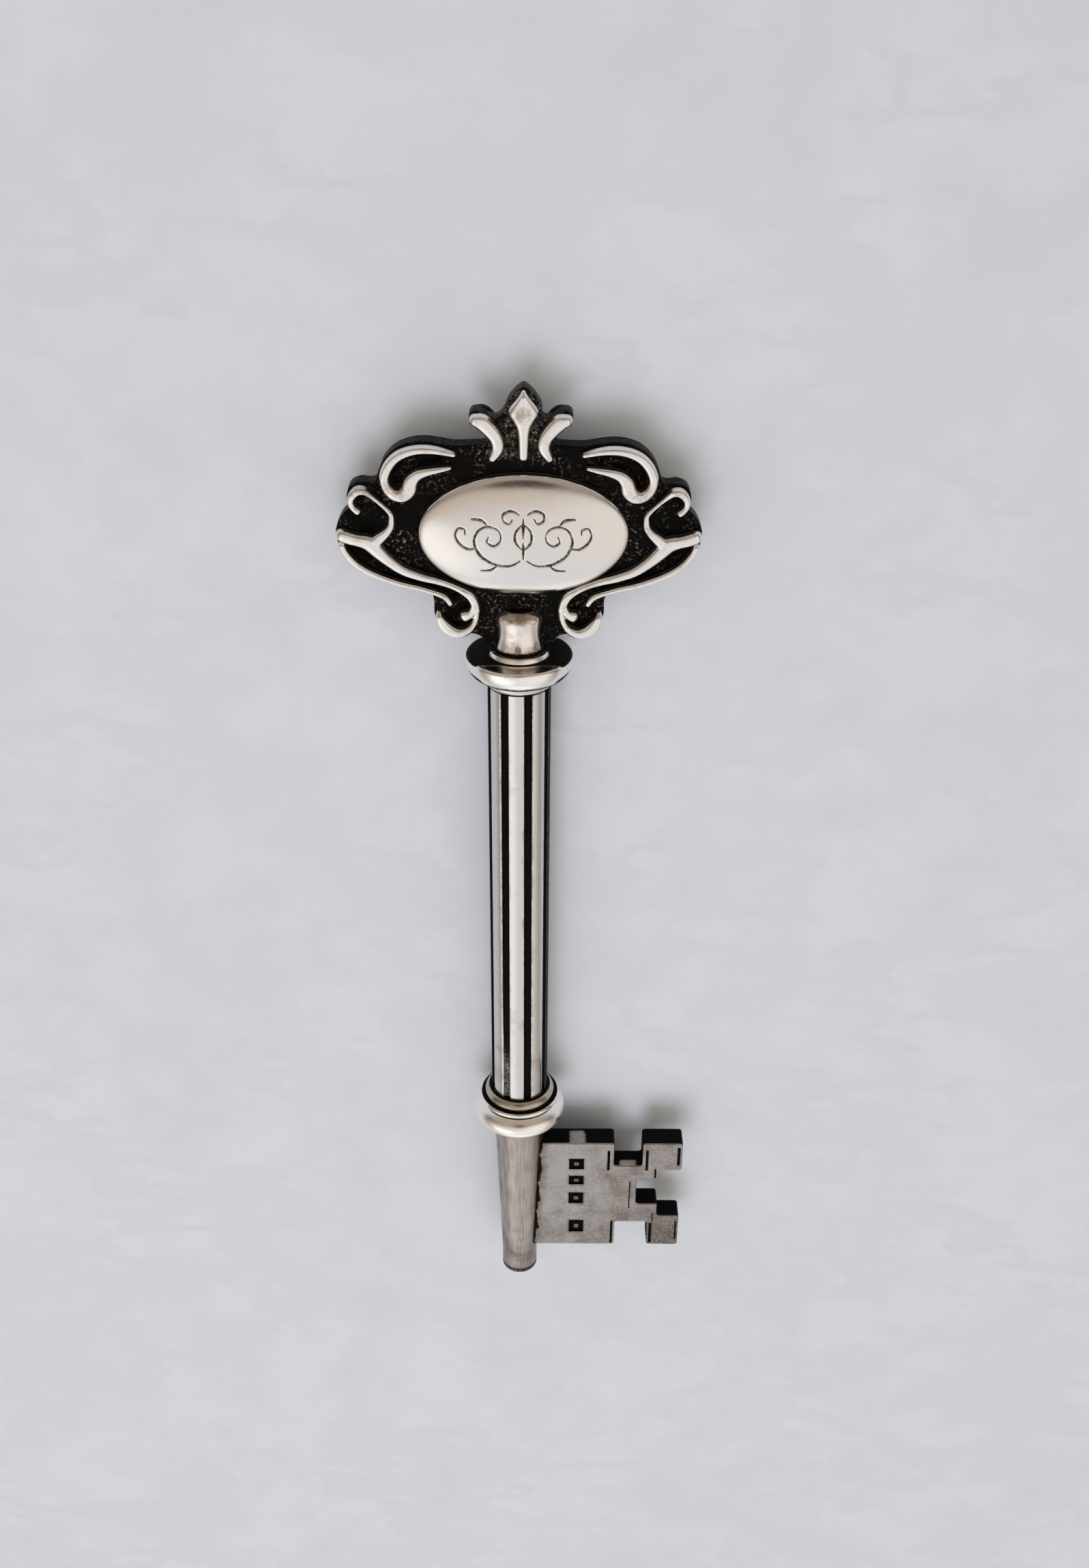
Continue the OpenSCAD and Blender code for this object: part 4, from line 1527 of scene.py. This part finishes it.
@dataclass
class Bit:
    """The warded bit, let into the pin with a tongue, with its cuts and sunk marks."""

    start: float = 4.8
    length: float = 17.7
    reach: float = 20.8
    half: float = 1.5
    inner_x: float = 0.7
    tongue_half: float = 0.8
    tongue_end: float = 3.9
    tongue_inset: float = 0.35
    fit_gap: float = 0.04
    round_corner: float = 0.36
    round_rim: float = 0.2
    pellet_share: float = 0.15
    top_ward: Sequence[float] = (12.1, 15.7, 18.7)
    low_ward: Sequence[float] = (12.4, 16.7, 8.9)
    deep_cut: Sequence[float] = (15.1, 12.1, 16.4)
    mouth: Sequence[float] = (17.9, 10.0, 18.0)
    mark_x: float = 7.3
    marks: Sequence[tuple[float, float, float]] = (
        (8.15, 0.1, 2.1), (13.15, 0.0, 1.9), (16.25, 0.0, 1.5), (19.05, 0.0, 1.8),
    )
    mark_w: float = 1.9
    mark_depth: float = 0.25
    cutter_above: float = 1.0
    pellet_below: float = 0.1
    scribed: Sequence[Frame] = (
        (11.3, 18.0, 11.5, 21.3), (16.2, 18.0, 16.4, 21.4), (20.2, 18.9, 20.45, 21.9),
        (14.2, 11.4, 14.2, 16.0), (17.4, 16.7, 17.5, 18.2), (17.35, 9.0, 17.35, 10.5),
        (11.95, 5.1, 12.1, 9.0), (17.0, 5.2, 17.25, 8.7), (20.4, 5.8, 20.5, 9.0),
    )
    scribe_w: float = 0.13
    scribe_depth: float = 0.08
    pin_nose_r: float = 2.25
    pin_nose_len: float = 3.2
    pin_taper: float = 0.037
    pin_faces: int = 96
    corner_margin: float = 0.1
    sharp: float = 42.0
    # Patches where the painted shade on the sawn walls is left off, so that a reflection shows.
    reflection_patches: Sequence[Frame] = ((12.2, 15.6, 18.7, 0.0), (5.8, 9.0, 22.5, -1.2))
    reflection_share: float = 0.85
    reflection_near: float = 0.1
    reflection_fades: Spot = (1.0, 0.5)
    near_rows: Way = (1.8, 3.9, 0.2)
    far_rows: Spot = (4.1, 0.5)
    height_rows: Spot = (0.5, 0.7)
    depth_rows: Sequence[float] = (-0.9, -0.4, 0.1, 0.5, 0.9)
    wall_edge: float = 0.13
    sunk_margin: float = 0.01
    sunk_level: float = 0.03
    sunk_above: float = 0.8
    sunk_rim: float = 0.46
    joint_waves: Sequence[Spot] = ((0.12, 1.3), (0.07, 3.7))
    # A dark joint beside the pin, with a wider painted shade spreading from it.
    crevice: Fade = Fade(0.42, 0.12)
    joint_shade: Fade = Fade(1.5, 0.3, 0.38)
    far_stain: Fade = Fade(6.0, 15.0, 0.25)
    low_stain: Fade = Fade(14.0, 6.0, 0.2)

    def outline(self) -> list[Spot]:
        """Corners of the bit, once round."""
        low, high = self.start, self.start + self.length
        return [
            (self.inner_x, low),
            (self.low_ward[0], low), (self.low_ward[0], self.low_ward[2]),
            (self.low_ward[1], self.low_ward[2]), (self.low_ward[1], low),
            (self.reach, low), (self.reach, self.mouth[1]),
            (self.mouth[0], self.mouth[1]), (self.mouth[0], self.deep_cut[1]),
            (self.deep_cut[0], self.deep_cut[1]), (self.deep_cut[0], self.deep_cut[2]),
            (self.mouth[0], self.deep_cut[2]), (self.mouth[0], self.mouth[2]),
            (self.reach, self.mouth[2]), (self.reach, high),
            (self.top_ward[1], high), (self.top_ward[1], self.top_ward[2]),
            (self.top_ward[0], self.top_ward[2]), (self.top_ward[0], high),
            (self.inner_x, high),
        ]

    def build(self, pin: Pin) -> None:
        """Saw out the bit, round its edges, fit it to the pin and sink its marks.

        Args:
            pin: the pin that the bit is fitted to.
        """
        mesh = self._blank()
        body = pin.profile(self.fit_gap) + [(0.0, pin.length)]
        mesh = cut(mesh, turned(body, "pin_form", ring=False, steps=self.pin_faces))
        low, high = self.start, self.start + self.length
        tongue = box_shape(
            (self.inner_x, low + self.tongue_inset, -self.tongue_half),
            (self.tongue_end, high - self.tongue_inset, self.tongue_half),
        )
        mesh = cut(mesh, mesh_from(tongue, "tongue"), "UNION")
        mesh = self._divided(cut(mesh, self._tools()))
        soil(mesh, self._grime)
        hand_in(mesh, "bit", BIT_METAL.material(), self.sharp)

    def _divided(self, mesh: bpy.types.Mesh) -> bpy.types.Mesh:
        """Cut the long faces of the bit into short ones, so that each place has its own grime.

        Args:
            mesh: the bit.

        Returns:
            The same form with more faces.
        """
        bm = bmesh.new()
        bm.from_mesh(mesh)
        low, high = self.start, self.start + self.length
        first, step = self.far_rows
        across = [*np.arange(*self.near_rows), *np.arange(first, self.reach, step)]
        first, step = self.height_rows
        upward = np.arange(low + first, high, step)
        planes = [((x, 0.0, 0.0), (1.0, 0.0, 0.0)) for x in across]
        planes += [((0.0, y, 0.0), (0.0, 1.0, 0.0)) for y in upward]
        planes += [((0.0, 0.0, z), (0.0, 0.0, 1.0)) for z in self.depth_rows]
        for place, way in planes:
            geometry = [*bm.verts, *bm.edges, *bm.faces]
            bmesh.ops.bisect_plane(
                bm, geom=geometry, dist=MERGE_DISTANCE, plane_co=place, plane_no=way
            )
        return mesh_from(bm, mesh.name)

    def _blank(self) -> bpy.types.Mesh:
        """The bit's plate with rounded corners and rims."""
        bm = bmesh.new()
        bm.faces.new([bm.verts.new((x, y, -self.half)) for x, y in self.outline()])
        outer = self.inner_x + self.corner_margin
        corners = [vert for vert in bm.verts if vert.co.x > outer]
        rounded(bm, corners, self.round_corner, 3, "VERTICES")
        rim = thickened(bm, 2 * self.half)
        bmesh.ops.recalc_face_normals(bm, faces=bm.faces)
        rounded(bm, rim, self.round_rim, 4)
        return mesh_from(bm, "bit_blank")

    def _tools(self) -> bpy.types.Mesh:
        """Cutters for the sunk marks, each with a plain raised pellet, and the scribed lines."""
        tools = bmesh.new()
        top = self.half + self.cutter_above
        deep = self.half - self.mark_depth
        for place, shift, height in self.marks:
            x = self.mark_x + shift
            block = box_shape(
                (x - self.mark_w / 2, place - height / 2, deep),
                (x + self.mark_w / 2, place + height / 2, top),
            )
            wide, tall = self.mark_w * self.pellet_share, height * self.pellet_share
            pellet = box_shape(
                (x - wide, place - tall, deep - self.pellet_below),
                (x + wide, place + tall, top + self.cutter_above),
            )
            tools.from_mesh(cut(mesh_from(block, "mark"), mesh_from(pellet, "pellet")))
        half = self.scribe_w / 2
        for x0, y0, x1, y1 in self.scribed:
            line = box_shape((x0 - half, y0, self.half - self.scribe_depth), (x1 + half, y1, top))
            tools.from_mesh(mesh_from(line, "scribed"))
        return mesh_from(tools, "tools")

    def _grime(self, points: np.ndarray, normals: np.ndarray) -> np.ndarray:
        """Black on the sawn walls as oxide and painted shade, left off where a reflection shows, in
        the sunk marks and in the crevice beside the pin, with painted shade.
        """
        x, y, height = points[:, 0], points[:, 1], points[:, 2]
        # the sawn walls: oxide with painted shade, left off in the patches where a reflection shows
        wall = smooth_step(np.abs(height), self.half - self.wall_edge, self.half - self.round_rim)
        along, up = self.reflection_fades
        for x0, x1, y0, z0 in self.reflection_patches:
            reflection_patch = smooth_step(x, x0, x0 + along) * smooth_step(x, x1, x1 - along)
            reflection_patch *= (np.abs(y - y0) < self.reflection_near) * smooth_step(height, z0, z0 + up)
            wall *= 1.0 - self.reflection_share * reflection_patch
        sunk = np.zeros(len(points))
        level = np.where(height < self.half - self.sunk_level, 1.0, self.sunk_rim)
        level *= height > self.sunk_above
        for x0, y0, x1, y1 in self._sunk_places():
            inside = (x > x0 - self.sunk_margin) & (x < x1 + self.sunk_margin)
            inside &= (y > y0 - self.sunk_margin) & (y < y1 + self.sunk_margin)
            sunk = darkest(sunk, inside * level)
        # the joint to the pin: a dark line with painted shade spreading from it
        gap = np.hypot(x, height) - self.pin_nose_r - (y - self.pin_nose_len) * self.pin_taper
        for rise, turns in self.joint_waves:
            gap += rise * np.sin(y * turns)
        worn = self.far_stain.over(x) + self.low_stain.over(y)
        return darkest(wall, worn, self.crevice.over(gap), self.joint_shade.over(gap), sunk)

    def _sunk_places(self) -> list[Frame]:
        """Left, lower, right and upper limit of each mark and each scribed line."""
        half, half_line = self.mark_w / 2, self.scribe_w / 2
        places = []
        for place, shift, tall in self.marks:
            x = self.mark_x + shift
            places.append((x - half, place - tall / 2, x + half, place + tall / 2))
        places += [(x0 - half_line, y0, x1 + half_line, y1) for x0, y0, x1, y1 in self.scribed]
        return places


# The studio


@dataclass
class Studio:
    """Floor, soft light all round and the camera at the photograph's angle."""

    floor_albedo: Colour = (0.638, 0.650, 0.692)
    floor_reach: float = 1.5
    floor_gap: float = 1e-5
    floor_rough: float = 0.9
    floor_specular: float = 0.1
    cloud_scale: float = 0.085
    cloud_fade: Span = (0.36, 0.62)
    cloud_dim: float = 0.945
    vein_scale: float = 0.045
    vein_stretch: Way = (0.5, 1.0, 1.0)
    vein_turn: Way = (0.0, 0.0, 24.0)
    vein_rise: Span = (0.45, 0.495)
    vein_fall: Span = (0.505, 0.55)
    vein_in_clouds: Span = (0.42, 0.6)
    vein_dim: float = 0.86
    vein_share: float = 0.38
    camera_place: Way = (3.18, 167.3, 157.4)
    tilt: float = 30.5
    shift_x: float = -0.15
    turn: float = 0.0071
    lens: float = 37.58
    sensor: float = 36.0
    nearest: float = 0.01
    bright_way: Way = (0.0, -0.78, 0.63)
    left_way: Way = (-0.55, -0.51, 0.66)
    right_way: Way = (0.62, -0.2, 0.76)
    strip_way: Way = (0.0, -0.985, 0.17)
    window_fade: Span = (0.45, 0.95)
    shade_fade: Span = (-0.15, 0.5)
    left_fade: Span = (0.86, 0.98)
    right_fade: Span = (0.74, 0.95)
    strip_fade: Span = (0.9, 0.98)
    flank_fade: Span = (0.0, 0.6)
    flank_share: float = 0.6
    behind_fade: Span = (0.35, 0.6)
    onlooker_fade: Span = (0.955, 0.99)
    onlooker_lean: float = 1.5
    dome_fade: Span = (0.2, 1.0)
    window: Colour = (0.82, 0.83, 0.86)
    dome_low: Colour = (0.12, 0.12, 0.122)
    dome_high: Colour = (1.10, 1.05, 0.92)
    left_window: Colour = (1.16, 1.14, 1.12)
    right_window: Colour = (0.88, 0.845, 0.81)
    strip: Colour = (1.04, 1.03, 1.02)
    ceiling: Colour = (0.64, 0.55, 0.475)
    shade: Colour = (0.15, 0.135, 0.12)
    behind: Colour = (0.38, 0.335, 0.285)
    onlooker: Colour = (0.09, 0.07, 0.055)
    background: Colour = (0.558, 0.562, 0.576)
    lamp_place: Way = (-75.0, -70.0, 620.0)
    lamp_aim: Way = (0.0, 60.0, 0.0)
    lamp_size: float = 0.36
    lamp_power: float = 1.45
    lamp_colour: Colour = (0.93, 1.0, 1.18)

    def build(self) -> None:
        """Set up floor, light and camera."""
        self._floor()
        self._world()
        self._lamp()
        self._camera()
        bpy.context.scene.view_settings.view_transform = "Standard"
        log.info("studio: floor, light and camera")

    def _floor(self) -> None:
        """A pale floor just under the key."""
        bm = bmesh.new()
        bmesh.ops.create_grid(bm, x_segments=1, y_segments=1, size=self.floor_reach)
        height = CAD_BOX[0][2] - self.floor_gap
        bmesh.ops.translate(bm, vec=(0.0, 0.0, height), verts=bm.verts)
        mesh = mesh_from(bm, "floor")
        mesh.materials.append(self._marble())
        placed("floor", mesh)

    def _marble(self) -> bpy.types.Material:
        """The floor's pale stone, with soft clouds and faint veins."""
        made = bpy.data.materials.new("pale_floor")
        made.use_nodes = True
        recipe = Recipe(made.node_tree)
        place = recipe.place_mm()
        clouds = recipe.noise(place, self.cloud_scale, 5.0, 0.62)
        drawn = recipe.stretched(place, self.vein_stretch, self.vein_turn)
        drift = recipe.noise(drawn, self.vein_scale, 5.0, 0.6)
        vein = drift.ease(*self.vein_rise) * (1.0 - drift.ease(*self.vein_fall))
        vein = vein * clouds.ease(*self.vein_in_clouds)
        dim = tuple(self.cloud_dim * value for value in self.floor_albedo)
        grey = tuple(self.vein_dim * value for value in self.floor_albedo)
        colour = recipe.blend(clouds.ease(*self.cloud_fade), dim, self.floor_albedo)
        sockets = {
            "Base Color": recipe.blend(vein * self.vein_share, colour, grey),
            "Roughness": self.floor_rough,
            "Specular IOR Level": self.floor_specular,
        }
        shader = recipe.node("ShaderNodeBsdfPrincipled", {}, sockets, "BSDF")
        recipe.node("ShaderNodeOutputMaterial", {}, {"Surface": shader})
        return made

    def _world(self) -> None:
        """A plain dome lights the floor; only the silver mirrors the windows and the ceiling."""
        world = bpy.data.worlds.new("studio")
        world.use_nodes = True
        bpy.context.scene.world = world
        recipe = Recipe(world.node_tree)
        axes = recipe.parts(recipe.node("ShaderNodeTexCoord", output="Generated"))
        dome = recipe.blend(axes[2].ease(*self.dome_fade), self.dome_low, self.dome_high)
        mirrored = recipe.node("ShaderNodeLightPath", output="Is Glossy Ray")
        sky = recipe.blend(mirrored, dome, self._mirrored_sky(recipe, axes))
        seen = recipe.node("ShaderNodeLightPath", output="Is Camera Ray")
        sky = recipe.blend(seen, sky, self.background)
        shade = recipe.node("ShaderNodeBackground", {}, {"Color": sky, "Strength": 1.0})
        recipe.node("ShaderNodeOutputWorld", {}, {"Surface": shade})

    def _mirrored_sky(self, recipe: Recipe, axes: Sequence[Wire]) -> Wire:
        """The room that the silver mirrors, from the ceiling to the onlooker.

        Args:
            recipe: the world's nodes.
            axes: the direction's share across, forward and upward.

        Returns:
            The colour of the room in each direction.
        """
        across, forward, upward = axes
        tilt = math.radians(self.tilt + self.onlooker_lean)
        bright = self._towards(self.bright_way, axes)
        left = self._towards(self.left_way, axes)
        right = self._towards(self.right_way, axes)
        strip = self._towards(self.strip_way, axes)
        onlooker = forward * math.sin(tilt) + upward * math.cos(tilt)
        flank = across * across * (1.0 - upward.ease(*self.flank_fade)) * self.flank_share
        sky = recipe.blend(bright.ease(*self.window_fade), self.ceiling, self.window)
        sky = recipe.blend(left.ease(*self.left_fade), sky, self.left_window)
        sky = recipe.blend(bright.ease(*self.shade_fade), self.shade, sky)
        sky = recipe.blend(right.ease(*self.right_fade), sky, self.right_window)
        sky = recipe.blend(strip.ease(*self.strip_fade), sky, self.strip)
        sky = recipe.blend(flank, sky, self.shade)
        sky = recipe.blend(forward.ease(*self.behind_fade), sky, self.behind)
        return recipe.blend(onlooker.ease(*self.onlooker_fade), sky, self.onlooker)

    @staticmethod
    def _towards(way: Way, axes: Sequence[Wire]) -> Wire:
        """How far a direction points along a given way, from -1 to 1."""
        return axes[0] * way[0] + axes[1] * way[1] + axes[2] * way[2]

    def _lamp(self) -> None:
        """A round lamp high above the pin, for soft shadows, unseen in the silver."""
        lamp = bpy.data.lights.new("lamp", "AREA")
        lamp.shape = "DISK"
        lamp.size = self.lamp_size
        lamp.energy = self.lamp_power
        lamp.color = self.lamp_colour
        holder = placed("lamp", lamp)
        place, aim = Vector(self.lamp_place), Vector(self.lamp_aim)
        turn = (place - aim).to_track_quat("Z", "Y").to_matrix().to_4x4()
        holder.matrix_world = Matrix.Translation(place * MM) @ turn
        holder.visible_glossy = False

    def _camera(self) -> None:
        """The camera above the bow, looking down along the key."""
        lens = bpy.data.cameras.new("camera")
        lens.sensor_fit = "AUTO"
        lens.sensor_width = self.sensor
        lens.lens = self.lens
        lens.clip_start = self.nearest
        camera = placed("camera", lens)
        tilt = math.radians(self.tilt)
        twist = Matrix.Rotation(self.turn, 3, "Z")
        place = Vector(self.camera_place) - Vector((self.shift_x, 0.0, 0.0))
        back = Vector((0.0, math.sin(tilt), math.cos(tilt)))
        up = Vector((0.0, math.cos(tilt), -math.sin(tilt)))
        right = Vector((1.0, 0.0, 0.0))
        axes = Matrix((twist @ right, twist @ up, twist @ back)).transposed()
        camera.matrix_world = Matrix.Translation((twist @ place) * MM) @ axes.to_4x4()
        bpy.context.scene.camera = camera


def main() -> None:
    """Build the studio and the key, piece by piece."""
    logging.basicConfig(level=logging.INFO, format="%(message)s")
    Studio().build()
    Bow().build()
    Neck().build()
    soft, bright = SOFT_RING.material(), RINGS.material()
    rings = (
        (NECK_FILLET, soft),
        (BOW_COLLAR, bright),
        (COLLAR_BEAD, BEAD.material()),
        (STOP_BEAD, bright),
        (STOP_COLLAR, soft),
    )
    for ring, finish in rings:
        ring.build(finish)
    Gland().build()
    Shank().build()
    pin = Pin()
    pin.build()
    Bit().build(pin)


if __name__ == "__main__":
    main()
